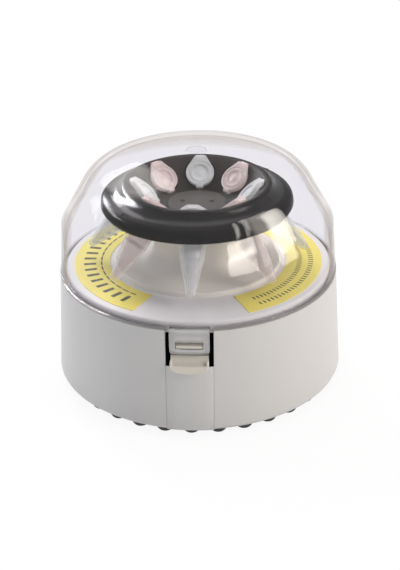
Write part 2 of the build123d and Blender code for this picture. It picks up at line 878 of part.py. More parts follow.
def make_latch_well():
    """Dark channel behind the slot that carries the latch pin and the interlock sensor."""
    outer = slot_half - fit_gap / 2
    inner = outer - latch_well_side
    back = latch_well_back
    walls = side_profile(
        closed(
            (back, plate_top),
            (latch_well_front - latch_well_lead, plate_top),
            (latch_well_front, lever_pin_z - lever_barrel_radius),
            (latch_well_front, latch_well_top),
            (back, latch_well_top),
        ),
        2 * outer,
    )
    floor = plate_top + latch_foot_thickness
    face = back + latch_well_side
    walls -= block(-inner, inner, -base_radius, -face, floor, rim_height)
    half = latch_foot_width / 2
    foot = block(-half, half, -latch_foot_front, -latch_foot_back, plate_top, floor)
    shelf_half = inner + fuse_depth
    shelf_front = -face - sensor_depth + sensor_shelf_setback
    shelf_low = sensor_low - sensor_shelf
    shelf = block(-shelf_half, shelf_half, shelf_front, -face + fuse_depth, shelf_low, sensor_low)
    body = walls + foot + shelf
    for side in (-1, 1):
        body -= hole(screw_radius + pilot_gap, plate_top, floor, side * latch_screw_x, -latch_screw_y)
    return body - cross_rod(lever_pin_radius + shaft_gap, 3 * lever_width, -lever_pin_y, lever_pin_z)


def make_latch_spring():
    """Leaf spring between the latch well's back and the lever."""
    root = latch_well_back + latch_well_side
    tip = lever_front - lever_thickness - slide_gap
    low = plate_top + latch_foot_thickness + spring_foot_gap
    bend = low + spring_foot
    high = lip_root - spring_tip_drop
    outline = closed(
        (root, low),
        (root + spring_thickness, low),
        (root + spring_thickness, bend),
        (tip, high),
        (tip - spring_curl, high + spring_curl),
        (tip - spring_curl - spring_thickness, high + spring_curl),
        (tip - spring_thickness, high),
        (root, bend + spring_thickness),
    )
    return side_profile(outline, spring_width)


def make_interlock_sensor():
    """Small switch that senses the lid's tab, with an arm and a stub that carry its feeler."""
    face = latch_well_back + latch_well_side
    front = face + sensor_depth
    x_low, x_high = sensor_x, sensor_x + sensor_width
    half = sensor_arm / 2
    arm_front = -feeler_pivot_y - half
    arm_low, arm_high = feeler_pivot_z - half, feeler_pivot_z + half
    body = block(x_low, x_high, -front, -face, sensor_low, sensor_low + sensor_height)
    body += block(x_high - sensor_arm, x_high, arm_front, -front + fuse_depth, arm_low, arm_high)
    stub_start = x_high - fuse_depth
    stub_end = x_high + feeler_gap + feeler_width + stub_end_gap
    middle = (stub_start + stub_end) / 2
    length = stub_end - stub_start
    return body + cross_rod(feeler_pivot_radius, length, -feeler_pivot_y, feeler_pivot_z, middle)


def make_interlock_feeler():
    """Feeler blade that the lid's tab holds back."""
    x_low = sensor_x + sensor_width + feeler_gap
    middle = x_low + feeler_width / 2
    far = x_low + feeler_width
    tab_face = math.sqrt((rim_radius - lid_wall) ** 2 - far ** 2)
    tip = tab_face - feeler_gap
    blade = side_profile(
        closed(
            (feeler_pivot_y, feeler_pivot_z + feeler_thickness),
            (feeler_pivot_y + feeler_thickness, feeler_pivot_z + feeler_thickness / 2),
            (tip, feeler_tip_z - feeler_nose),
            (tip, feeler_tip_z),
            (tip - feeler_thickness, feeler_tip_z),
            (tip - feeler_thickness, feeler_tip_z - feeler_nose),
        ),
        feeler_width,
        middle,
    )
    bore_radius = feeler_pivot_radius + slide_gap
    barrel = cross_rod(feeler_barrel, feeler_width, -feeler_pivot_y, feeler_pivot_z, middle)
    bore = cross_rod(bore_radius, 3 * feeler_width, -feeler_pivot_y, feeler_pivot_z, middle)
    return barrel + blade - bore


def tube_plane(sink=seat_sink):
    """Plane of the front tube's seat: x up the bowl's slope, z along the tube to its tip."""
    slope = math.sqrt(0.5)
    reach = tube_seat_radius + sink * slope
    height = tube_seat_radius + bowl_level - sink * slope
    return Plane(origin=(0, -reach, height), x_dir=(0, -slope, slope), z_dir=(0, -slope, -slope))


def seated(shape):
    """Put a shape made along +Z on the front tube's seat."""
    return tube_plane().location * shape


def make_rotor():
    """Fixed-angle rotor: bowl, rolled rim, hollow skirt, tube sleeves, seats and hub socket."""
    web = bowl_web * math.sqrt(2)
    floor_edge = bowl_floor - bowl_level
    under_edge = rotor_bottom - bowl_level + web
    skirt_inner = rotor_edge_radius - rotor_skirt
    under_top_radius = valley_radius - under_inset
    under_top = valley_height - rotor_skirt
    join_radius = lip_radius + lip_web
    join_height = join_radius + bowl_level - web
    lip_height = lip_radius + bowl_level
    top_edge = boss_radius - boss_round
    top_low = boss_height - boss_round
    rim_end = (crest_radius + crest_run, crest_height - crest_fall)
    outline = [
        Line((0, rotor_bottom), (0, boss_height)),
        Line((0, boss_height), (top_edge, boss_height)),
        RadiusArc((top_edge, boss_height), (boss_radius, top_low), boss_round),
        Line((boss_radius, top_low), (boss_radius + boss_draft, bowl_floor)),
        Line((boss_radius + boss_draft, bowl_floor), (floor_edge, bowl_floor)),
        Line((floor_edge, bowl_floor), (lip_radius, lip_height)),
        ThreePointArc((lip_radius, lip_height), (crest_radius, crest_height), rim_end),
        Spline(
            rim_end,
            (valley_radius, valley_height),
            (shoulder_bulge_radius, shoulder_bulge_height),
            (rotor_radius, rotor_widest_height),
            tangents=[shoulder_slope, (0, -1)],
        ),
        Line((rotor_radius, rotor_widest_height), (rotor_edge_radius, rotor_edge_height)),
        Line((rotor_edge_radius, rotor_edge_height), (skirt_inner, rotor_edge_height)),
        ThreePointArc(
            (skirt_inner, rotor_edge_height),
            (skirt_inner - skirt_draft, rotor_edge_height + skirt_rise),
            (under_top_radius, under_top),
        ),
        Line((under_top_radius, under_top), (join_radius, join_height)),
        Line((join_radius, join_height), (under_edge, rotor_bottom)),
        Line((under_edge, rotor_bottom), (0, rotor_bottom)),
    ]
    body = turned(Curve() + outline)
    sleeve = seated(rod(sleeve_radius, bowl_web / 2, sleeve_length))
    seat = seated(rod(seat_face_radius, -seat_clear, 0))
    bore = seated(rod(tube_radius + tube_gap, -over_cut, bore_depth))
    step = 360 / tube_count
    for index in range(tube_count):
        body += Rot(0, 0, index * step) * sleeve
    for index in range(tube_count):
        body -= Rot(0, 0, index * step) * (seat + bore)
    socket_low = rotor_bottom - over_cut
    body -= extrude(Pos(0, 0, socket_low) * hub_section(shaft_gap), hub_top + fit_gap - socket_low)
    for side in (-1, 1):
        dimple = rod(dimple_radius, boss_height - dimple_depth, boss_height + over_cut)
        body -= Pos(side * dimple_place, 0, 0) * dimple
    return body


def hub_section(gap):
    """Six-sided section of the hub, with a clearance all round."""
    return RegularPolygon(hub_flats / 2 + gap, 6, major_radius=False)


def make_rotor_hub():
    """Six-sided metal hub on the motor shaft that drives the rotor."""
    low = rotor_bottom + fit_gap
    hub = extrude(Pos(0, 0, low) * hub_section(0), hub_top - low)
    hub -= hole(shaft_radius + shaft_gap / 2, low, hub_top)
    return hub - set_screw(pilot_gap)


def set_screw(gap=0.0):
    """Grub screw across the hub, or with a gap its hole."""
    height = (rotor_bottom + hub_top) / 2
    inner = shaft_radius + slide_gap
    outer = hub_flats / 2 - fit_gap
    length = outer - inner
    if gap:
        length += 2 * over_cut
    middle = (outer + inner) / 2
    return Pos(middle, 0, height) * Rot(0, 90, 0) * Cylinder(screw_radius + gap, length)


def cap_outline():
    """Teardrop outline of a tube's cap: hinge end up the slope, thumb tab towards the axis."""
    hinge_half = cap_hinge_width / 2
    lean = math.radians(cap_shoulder_angle)
    touch_x = cap_radius * math.cos(lean)
    touch_y = cap_radius * math.sin(lean)
    shoulders = closed(
        (0, 0),
        (touch_x, touch_y),
        (cap_hinge_reach, hinge_half),
        (cap_hinge_reach, -hinge_half),
        (touch_x, -touch_y),
    )
    tab = Pos(-cap_tab_reach / 2, 0) * Rectangle(cap_tab_reach, cap_tab_width)
    return Circle(cap_radius) + make_face(shoulders) + tab


def make_tube(index):
    """One 1.5 ml tube with its closed cap, in its place in the rotor."""
    inner = tube_radius - tube_wall
    taper_end = tube_length - tube_tip_radius
    outline = [
        Line((0, tube_length), (0, taper_end)),
        Line((0, taper_end), (tube_tip_radius - tube_wall, taper_end)),
        Line((tube_tip_radius - tube_wall, taper_end), (inner, tube_straight)),
        Line((inner, tube_straight), (inner, -collar_thickness)),
        Line((inner, -collar_thickness), (collar_radius, -collar_thickness)),
        Line((collar_radius, -collar_thickness), (collar_radius, 0)),
        Line((collar_radius, 0), (tube_radius, 0)),
        Line((tube_radius, 0), (tube_radius, tube_straight)),
        Line((tube_radius, tube_straight), (tube_tip_radius, taper_end)),
        Line((tube_tip_radius, taper_end), (tube_tip_radius / 2, tube_length)),
        Line((tube_tip_radius / 2, tube_length), (0, tube_length)),
    ]
    body = turned(Curve() + outline)
    hinge_half = cap_hinge_width / 2
    lobe_root = tube_radius - fuse_depth
    body += block(lobe_root, collar_hinge_reach, -hinge_half, hinge_half, -collar_thickness, 0)
    cap_top = -collar_thickness - cap_thickness
    cap = extrude(Pos(0, 0, cap_top) * cap_outline(), cap_thickness)
    plug = inner - slide_gap
    cap += rod(plug, cap_top + cap_thickness / 2, plug_depth)
    cap -= rod(plug - plug_wall, -collar_thickness, plug_depth + over_cut)
    cap -= rod(cap_ring_radius, cap_top - over_cut, cap_top + cap_ring_depth)
    turn = Rot(0, 0, index * 360 / tube_count)
    return Compound(children=[turn * seated(body), turn * seated(cap)])


def damper_top():
    """Height of the seats under the deck's damper bosses."""
    return cradle_flange_height + cradle_wall + damper_lip


def make_motor_cradle():
    """Hat-shaped steel carrier: crown over the motor, wall and a flange on three rubber dampers."""
    inner = can_radius + fit_gap
    outer = inner + cradle_wall
    low = cradle_flange_height
    crown = can_top + cradle_wall
    outline = closed(
        (inner, low),
        (cradle_flange_radius, low),
        (cradle_flange_radius, low + cradle_wall),
        (outer, low + cradle_wall),
        (outer, crown),
        (can_boss_radius + fit_gap, crown),
        (can_boss_radius + fit_gap, can_top),
        (inner, can_top),
    )
    body = turned(outline)
    for _, x, y in around(damper_count, damper_place, 90):
        body -= hole(damper_neck + slide_gap, low, low + cradle_wall, x, y)
    for side in (-1, 1):
        body -= hole(motor_screw_radius + pilot_gap, can_top, crown, side * motor_screw_place)
    return body


def make_damper_grommets():
    """Rubber grommets that hold the cradle's flange under the deck."""
    low = cradle_flange_height - damper_lip
    pieces = []
    for _, x, y in around(damper_count, damper_place, 90):
        grommet = rod(damper_radius, low, cradle_flange_height, x, y)
        grommet += rod(damper_neck, low, damper_top(), x, y)
        grommet += rod(damper_radius, cradle_flange_height + cradle_wall, damper_top(), x, y)
        grommet -= hole(damper_screw_radius + pilot_gap, low, damper_top(), x, y)
        pieces.append(grommet)
    return Compound(children=pieces)


def make_damper_screws():
    """Screws with wide heads under the grommets."""
    low = cradle_flange_height - damper_lip
    pieces = []
    for _, x, y in around(damper_count, damper_place, 90):
        screw = rod(damper_screw_head, low - screw_head_height, low, x, y)
        tip = deck_height - deck_plate - fit_gap
        pieces.append(screw + rod(damper_screw_radius, low - fuse_depth, tip, x, y))
    return Compound(children=pieces)


def make_motor_screws():
    """Two screws through the cradle's crown into the motor."""
    crown = can_top + cradle_wall
    pieces = []
    for side in (-1, 1):
        x = side * motor_screw_place
        screw = rod(motor_screw_head, crown, crown + motor_screw_head_height, x)
        pieces.append(screw + rod(motor_screw_radius, can_top - motor_screw_depth, crown, x))
    return Compound(children=pieces)


def make_motor_can():
    """Drawn steel motor can with its front boss."""
    roof = can_top - can_wall
    boss_top = can_top + can_boss_height
    body = rod(can_radius, can_bottom, can_top)
    body -= rod(can_radius - can_wall, can_bottom - over_cut, roof)
    body += rod(can_boss_radius, roof, boss_top)
    body -= hole(bush_radius + shaft_gap, roof, boss_top)
    for side in (-1, 1):
        body -= hole(motor_screw_radius + pilot_gap, roof, can_top, side * motor_screw_place)
    return body


def rear_bearing_low():
    """Lower end of the rear bearing, on the floor of the end cap's boss."""
    return can_bottom - end_cap_thickness - end_boss_height + end_boss_floor


def make_motor_end_cap():
    """Moulded end cap under the can, with the rear bearing's boss and two terminals."""
    low = can_bottom - end_cap_thickness
    top = can_bottom + end_cap_spigot
    body = rod(can_radius, low, can_bottom)
    body += rod(can_radius - can_wall - fit_gap, low, top)
    body += rod(end_boss_radius, low - end_boss_height, low)
    body -= rod(bush_radius + shaft_gap, rear_bearing_low(), top + over_cut)
    half = terminal_thickness / 2
    wide = terminal_width / 2
    for side in (-1, 1):
        x = side * terminal_place
        body += block(x - half, x + half, -wide, wide, low - terminal_length, low + fuse_depth)
    return body


def make_motor_bushes():
    """Sintered bearings at both ends of the motor."""
    pieces = []
    for low in (rear_bearing_low(), can_top + can_boss_height - bush_length):
        high = low + bush_length
        pieces.append(rod(bush_radius, low, high) - hole(shaft_radius + shaft_gap, low, high))
    return Compound(children=pieces)


def make_field_magnets():
    """Two curved magnets inside the can."""
    outer = can_radius - can_wall - shaft_gap
    pieces = []
    for centre in (0, 180):
        start = centre - magnet_angle / 2
        end = centre + magnet_angle / 2
        pieces.append(sector(outer - magnet_thickness, outer, magnet_low, magnet_high, start, end))
    return Compound(children=pieces)


def make_armature():
    """Laminated armature with its winding slots, on the shaft."""
    body = rod(armature_radius, armature_low, armature_high)
    height = armature_high - armature_low + 2 * over_cut
    middle = (armature_low + armature_high) / 2
    slot_middle = (armature_slot_floor + armature_slot_roof) / 2
    depth = armature_slot_roof - armature_slot_floor
    slot = Pos(slot_middle, 0, middle) * Box(depth, armature_slot_width, height)
    mouth = Pos(armature_radius, 0, middle) * Box(armature_radius, armature_slot_mouth, height)
    for index in range(armature_slots):
        body -= Rot(0, 0, index * 360 / armature_slots) * (slot + mouth)
    return body - hole(shaft_radius + shaft_gap / 2, armature_low, armature_high)


def make_commutator():
    """Commutator below the armature."""
    body = rod(commutator_radius, commutator_low, commutator_high)
    riser_low = commutator_high - commutator_riser
    body += rod(commutator_radius + commutator_riser, riser_low, commutator_high)
    return body - hole(shaft_radius + shaft_gap / 2, commutator_low, commutator_high)


def make_motor_shaft():
    """Motor shaft from the rear bearing to the hub."""
    return rod(shaft_radius, rear_bearing_low() + fit_gap, hub_top)


def make_base_plate():
    """Bottom plate with board standoffs and counterbored screw holes."""
    body = rod(plate_radius, plate_low, plate_top)
    rise = plate_top + board_rise
    for x, y in board_corners():
        body += rod(standoff_radius, plate_top - fuse_depth, rise, x, y)
        body -= rod(screw_radius + pilot_gap, plate_top + fuse_depth, rise + over_cut, x, y)
    head_top = plate_low + screw_head_height
    for x, y in base_screw_places():
        body -= hole(screw_radius + fit_gap, plate_low, plate_top, x, y)
        body -= rod(screw_head_radius + fit_gap, plate_low - over_cut, head_top, x, y)
    return body


def base_screw_places():
    """Places of the screws that enter from below: deck pillars, then the latch well."""
    places = [(x, y) for _, x, y in around(pillar_count, pillar_place, 45)]
    return places + [(latch_screw_x, -latch_screw_y), (-latch_screw_x, -latch_screw_y)]


def make_base_screws():
    """Screws from below into the deck's pillars and the latch well's foot."""
    pieces = []
    short = plate_thickness + latch_foot_thickness - fit_gap
    for index, (x, y) in enumerate(base_screw_places()):
        reach = screw_length if index < pillar_count else short
        screw = rod(screw_head_radius, plate_low, plate_low + screw_head_height, x, y)
        pieces.append(screw + rod(screw_radius, plate_low + fuse_depth, plate_low + reach, x, y))
    return Compound(children=pieces)


def make_rubber_feet():
    """Rubber ring under the base plate with a row of tapered feet."""
    ring = rod(plate_radius, foot_height, plate_low) - hole(feet_ring_inner, foot_height, plate_low)
    root = foot_height + feet_ring_thickness / 2
    foot = turned(closed((0, 0), (foot_flat_radius, 0), (foot_radius, root), (0, root)))
    for _, x, y in around(foot_count, foot_place, -90):
        ring += Pos(x, y, 0) * foot
    return ring


def board_corners():
    """Places of the board's four standoffs."""
    half_x = board_length / 2 - board_inset
    half_y = board_width / 2 - board_inset
    for side_x in (-1, 1):
        for side_y in (-1, 1):
            yield side_x * half_x, board_y + side_y * half_y


def make_circuit_board():
    """Control board on its standoffs."""
    low = plate_top + board_rise
    half_x, half_y = board_length / 2, board_width / 2
    body = block(-half_x, half_x, board_y - half_y, board_y + half_y, low, low + board_thickness)
    for x, y in board_corners():
        body -= hole(screw_radius + fit_gap, low, low + board_thickness, x, y)
    return body


def make_board_screws():
    """Four screws on the board."""
    top = board_top
    pieces = []
    for x, y in board_corners():
        screw = rod(board_screw_head, top, top + screw_head_height, x, y)
        pieces.append(screw + rod(screw_radius, plate_top + over_cut, top, x, y))
    return Compound(children=pieces)


def on_board(shape, place):
    """Put a board part made on the bench plane in its place on the board."""
    top = board_top
    return Pos(place[0], board_y + place[1], top) * shape


def board_block(length, width, height):
    """Box that stands on the board."""
    return Box(length, width, height, align=(Align.CENTER, Align.CENTER, Align.MIN))


def make_board_parts():
    """Capacitor, coil, driver block and two wire headers on the board."""
    return Compound(
        children=[
            on_board(rod(capacitor_radius, 0, capacitor_height), capacitor_place),
            on_board(rod(coil_radius, 0, coil_height), coil_place),
            on_board(board_block(*driver_size), driver_place),
            on_board(board_block(*motor_header, header_height), motor_header_place),
            on_board(board_block(*power_header, header_height), power_header_place),
        ]
    )


def recess_middle():
    """Height of the middle of the rear recess."""
    return (recess_low + recess_high) / 2


def rear_rod(radius, y_low, y_high, x, z):
    """Round bar that points to the rear."""
    return Pos(x, (y_low + y_high) / 2, z) * Rot(90, 0, 0) * Cylinder(radius, y_high - y_low)


def through_wall():
    """Near and far end of a cutter through the recess floor."""
    return recess_floor - wall - over_cut, base_radius + over_cut


def jack_hole():
    """Hole for the power inlet in the recess floor."""
    return rear_rod(jack_barrel_radius + mount_gap, *through_wall(), jack_x, recess_middle())


def jack_mouth():
    """Open end of the power inlet's barrel."""
    return recess_floor + jack_nut_thickness + jack_lip


def make_dc_jack():
    """Round power inlet: block inside, barrel through the wall, socket bore."""
    z = recess_middle()
    inside = recess_floor - wall
    half = jack_block / 2
    mouth = jack_mouth()
    body = block(jack_x - half, jack_x + half, inside - jack_depth, inside, z - half, z + half)
    body += rear_rod(jack_barrel_radius, inside - fuse_depth, mouth, jack_x, z)
    return body - rear_rod(jack_bore_radius, mouth - jack_depth, mouth + over_cut, jack_x, z)


def make_dc_jack_pin():
    """Centre pin of the power inlet."""
    mouth = jack_mouth()
    end = mouth - jack_pin_setback
    return rear_rod(jack_pin_radius, mouth - jack_depth, end, jack_x, recess_middle())


def make_dc_jack_nut():
    """Six-sided nut on the power inlet's barrel."""
    z = recess_middle()
    section = RegularPolygon(jack_nut_flats / 2, 6, major_radius=False)
    nut = Pos(jack_x, recess_floor, z) * Rot(-90, 0, 0) * extrude(section, jack_nut_thickness)
    low, high = recess_floor - over_cut, jack_mouth() + over_cut
    return nut - rear_rod(jack_barrel_radius + shaft_gap, low, high, jack_x, z)


def switch_block(length, width, y_low, y_high):
    """Box centred on the rocker switch."""
    z = recess_middle()
    half = length / 2
    high = width / 2
    return block(switch_x - half, switch_x + half, y_low, y_high, z - high, z + high)


def switch_hole():
    """Cut-out for the rocker switch in the recess floor."""
    gap = 2 * mount_gap
    return switch_block(switch_body_length + gap, switch_body_width + gap, *through_wall())


def make_switch_body():
    """Rocker switch body with its bezel, well, pivot holes and rear blades."""
    z = recess_middle()
    face = recess_floor + bezel_thickness
    back = recess_floor - switch_body_depth
    body = switch_block(bezel_length, bezel_width, recess_floor, face)
    body += switch_block(switch_body_length, switch_body_width, back, recess_floor + fuse_depth)
    opening = 2 * (rocker_half + rocker_gap)
    floor = face - switch_well_depth
    body -= switch_block(opening, rocker_width + 2 * fit_gap, floor, face + over_cut)
    half = blade_thickness / 2
    wide = blade_width / 2
    for side in (-1, 1):
        x = switch_x + side * blade_place
        body += block(x - half, x + half, back - blade_length, back + fuse_depth, z - wide, z + wide)
    pivot_hole = Cylinder(rocker_pivot_radius + slide_gap, rocker_pivot_length + fit_gap)
    return body - Pos(switch_x, rocker_axis_y(), z) * pivot_hole


def rocker_axis_y():
    """Distance of the rocker's pivot behind the rotor's axis."""
    return recess_floor + bezel_thickness - rocker_axis_depth


def make_switch_rocker():
    """Rocker, resting tipped to its off side."""
    section = closed(
        (-rocker_half, -rocker_side),
        (-rocker_half, rocker_end_rise),
        (0, rocker_middle_rise),
        (rocker_half, rocker_end_rise),
        (rocker_half, -rocker_side),
        (rocker_tail_half, -rocker_tail),
        (-rocker_tail_half, -rocker_tail),
    )
    cap = extrude(make_face(section), rocker_width / 2, both=True)
    rocker = cap + Cylinder(rocker_pivot_radius, rocker_pivot_length)
    return Pos(switch_x, rocker_axis_y(), recess_middle()) * Rot(0, 0, rocker_tilt) * rocker


def save(name, shape):
    """Write one sub-part."""
    export_step(shape, os.path.join("parts", name + ".step"))


def main():
    """Build every sub-part and write it."""
    os.makedirs("parts", exist_ok=True)
    makers = {
        "housing_shell": make_housing_shell,
        "front_strip": make_front_strip,
        "deck": make_deck,
        "deck_label_left": lambda: make_deck_label(-1),
        "deck_label_right": lambda: make_deck_label(1),
        "motor_cover": make_motor_cover,
        "base_plate": make_base_plate,
        "rubber_feet": make_rubber_feet,
        "base_screws": make_base_screws,
        "circuit_board": make_circuit_board,
        "board_parts": make_board_parts,
        "board_screws": make_board_screws,
        "dc_jack": make_dc_jack,
        "dc_jack_pin": make_dc_jack_pin,
        "dc_jack_nut": make_dc_jack_nut,
        "switch_body": make_switch_body,
        "switch_rocker": make_switch_rocker,
        "latch_well": make_latch_well,
        "latch_lever": make_latch_lever,
        "latch_pin": make_latch_pin,
        "latch_spring": make_latch_spring,
        "interlock_sensor": make_interlock_sensor,
        "interlock_feeler": make_interlock_feeler,
        "hinge_pin": make_hinge_pin,
        "lid": make_lid,
        "motor_cradle": make_motor_cradle,
        "damper_grommets": make_damper_grommets,
        "damper_screws": make_damper_screws,
        "motor_screws": make_motor_screws,
        "motor_can": make_motor_can,
        "motor_end_cap": make_motor_end_cap,
        "motor_bushes": make_motor_bushes,
        "field_magnets": make_field_magnets,
        "armature": make_armature,
        "commutator": make_commutator,
        "motor_shaft": make_motor_shaft,
        "rotor_hub": make_rotor_hub,
        "hub_screw": set_screw,
        "rotor": make_rotor,
    }
    for name, maker in makers.items():
        save(name, maker())
    for index in range(tube_count):
        save(f"tube_{index + 1}", make_tube(index))


main()
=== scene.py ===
"""A bench microcentrifuge: a clear domed lid over a fixed-angle rotor with eight tubes.

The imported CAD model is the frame, in metres, +Z up, with the latch facing -Y. Each sub-assembly is
a class that holds its sizes in millimetres, builds its meshes and dresses them in its finishes.
"""

import logging
import math
from collections.abc import Callable, Sequence
from dataclasses import dataclass
from enum import Enum
from typing import Any

import bmesh
import bpy
from mathutils import Matrix, Vector


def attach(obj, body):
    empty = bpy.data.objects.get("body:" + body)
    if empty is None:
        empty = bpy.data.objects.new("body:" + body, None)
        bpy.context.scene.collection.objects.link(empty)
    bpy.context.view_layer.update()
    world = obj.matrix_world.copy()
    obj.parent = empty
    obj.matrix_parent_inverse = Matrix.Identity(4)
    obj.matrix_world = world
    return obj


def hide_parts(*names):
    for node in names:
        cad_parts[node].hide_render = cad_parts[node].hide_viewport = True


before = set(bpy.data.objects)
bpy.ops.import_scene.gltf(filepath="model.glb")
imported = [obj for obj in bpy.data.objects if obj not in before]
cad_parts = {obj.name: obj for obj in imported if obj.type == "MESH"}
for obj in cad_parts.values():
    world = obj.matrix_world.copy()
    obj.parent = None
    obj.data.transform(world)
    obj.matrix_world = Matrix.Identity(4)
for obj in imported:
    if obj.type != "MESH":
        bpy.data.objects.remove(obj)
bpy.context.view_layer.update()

log = logging.getLogger("microcentrifuge")
MM = 0.001
Colour = tuple[float, float, float]
WHITE: Colour = (1.0, 1.0, 1.0)
WARM: Colour = (1.0, 0.97, 0.9)


class Body(Enum):
    """The CAD bodies that a piece can ride on."""

    BASE = "base"
    LID = "lid"
    LEVER = "latch_lever"
    ROTOR = "rotor"


# ---------- shader maths ----------


class Value:
    """A number socket, so that shader maths reads as plain expressions."""

    def __init__(self, nodes: "Nodes", socket: bpy.types.NodeSocket) -> None:
        """Wraps one output socket of a node tree."""
        self.nodes = nodes
        self.socket = socket

    def __add__(self, other: "Number") -> "Value":
        """Adds a value."""
        return self.nodes.math("ADD", self, other)

    __radd__ = __add__

    def __sub__(self, other: "Number") -> "Value":
        """Subtracts a value."""
        return self.nodes.math("SUBTRACT", self, other)

    def __rsub__(self, other: "Number") -> "Value":
        """Subtracts this value from another."""
        return self.nodes.math("SUBTRACT", other, self)

    def __mul__(self, other: "Number") -> "Value":
        """Multiplies by a value."""
        return self.nodes.math("MULTIPLY", self, other)

    __rmul__ = __mul__

    def __gt__(self, other: "Number") -> "Value":
        """1 where this value is larger, else 0."""
        return self.nodes.math("GREATER_THAN", self, other)

    def __lt__(self, other: "Number") -> "Value":
        """1 where this value is smaller, else 0."""
        return self.nodes.math("LESS_THAN", self, other)

    def __pow__(self, other: "Number") -> "Value":
        """Raises to a power."""
        return self.nodes.math("POWER", self, other)

    def __mod__(self, other: "Number") -> "Value":
        """The remainder, always positive."""
        return self.nodes.math("FLOORED_MODULO", self, other)

    def __abs__(self) -> "Value":
        """The size without its sign."""
        return self.nodes.math("ABSOLUTE", self)

    def rise(self, low: float, high: float) -> "Value":
        """A smooth step.

        Args:
            low: Where the step leaves 0.
            high: Where it reaches 1; below low, the step falls instead.

        Returns:
            The stepped value, from 0 to 1.
        """
        node = self.nodes.node(
            "ShaderNodeMapRange",
            {"interpolation_type": "SMOOTHSTEP", "clamp": True},
            {"Value": self, "From Min": low, "From Max": high},
        )
        return Value(self.nodes, node.outputs["Result"])


Number = Value | float
Link = Value | bpy.types.NodeSocket | float | tuple[float, ...]


class Nodes:
    """A node tree, which is filled through one method."""

    def __init__(self, tree: bpy.types.NodeTree) -> None:
        """Takes over a tree and empties it."""
        self.tree = tree
        tree.nodes.clear()

    def node(
        self, kind: str, settings: dict[str, Any], inputs: dict[str | int, Link]
    ) -> bpy.types.Node:
        """Adds any node.

        Args:
            kind: Blender's type name of the node.
            settings: The node's own options, set first.
            inputs: What each socket gets, by name or place: a number, a colour or a link.

        Returns:
            The node.
        """
        made = self.tree.nodes.new(kind)
        for option, setting in settings.items():
            setattr(made, option, setting)
        for key, given in inputs.items():
            socket = made.inputs[key]
            if isinstance(given, Value):
                self.tree.links.new(given.socket, socket)
            elif isinstance(given, bpy.types.NodeSocket):
                self.tree.links.new(given, socket)
            elif isinstance(given, tuple) and socket.type == "RGBA":
                socket.default_value = (*given, 1.0)
            else:
                socket.default_value = given
        return made

    def math(self, operation: str, *operands: Number) -> Value:
        """Adds a Math node.

        Args:
            operation: Blender's name of the operation.
            operands: One to three numbers or values.

        Returns:
            Its result.
        """
        made = self.node("ShaderNodeMath", {"operation": operation}, dict(enumerate(operands)))
        return Value(self, made.outputs[0])

    def layer(self, amount: Number, below: Link, above: Link) -> bpy.types.NodeSocket:
        """Mixes two shaders.

        Args:
            amount: 0 for the shader below, 1 for the one above.
            below: A shader.
            above: A shader.

        Returns:
            The mixed shader.
        """
        made = self.node("ShaderNodeMixShader", {}, {0: amount, 1: below, 2: above})
        return made.outputs[0]

    def background_rays(self) -> Value:
        """1 for rays that show the background: camera, mirror and see-through rays."""
        path = self.node("ShaderNodeLightPath", {}, {})
        total = Value(self, path.outputs["Is Camera Ray"])
        for kind in ("Is Glossy Ray", "Is Transmission Ray"):
            added = self.node(
                "ShaderNodeMath",
                {"operation": "ADD", "use_clamp": True},
                {0: total, 1: path.outputs[kind]},
            )
            total = Value(self, added.outputs[0])
        return total


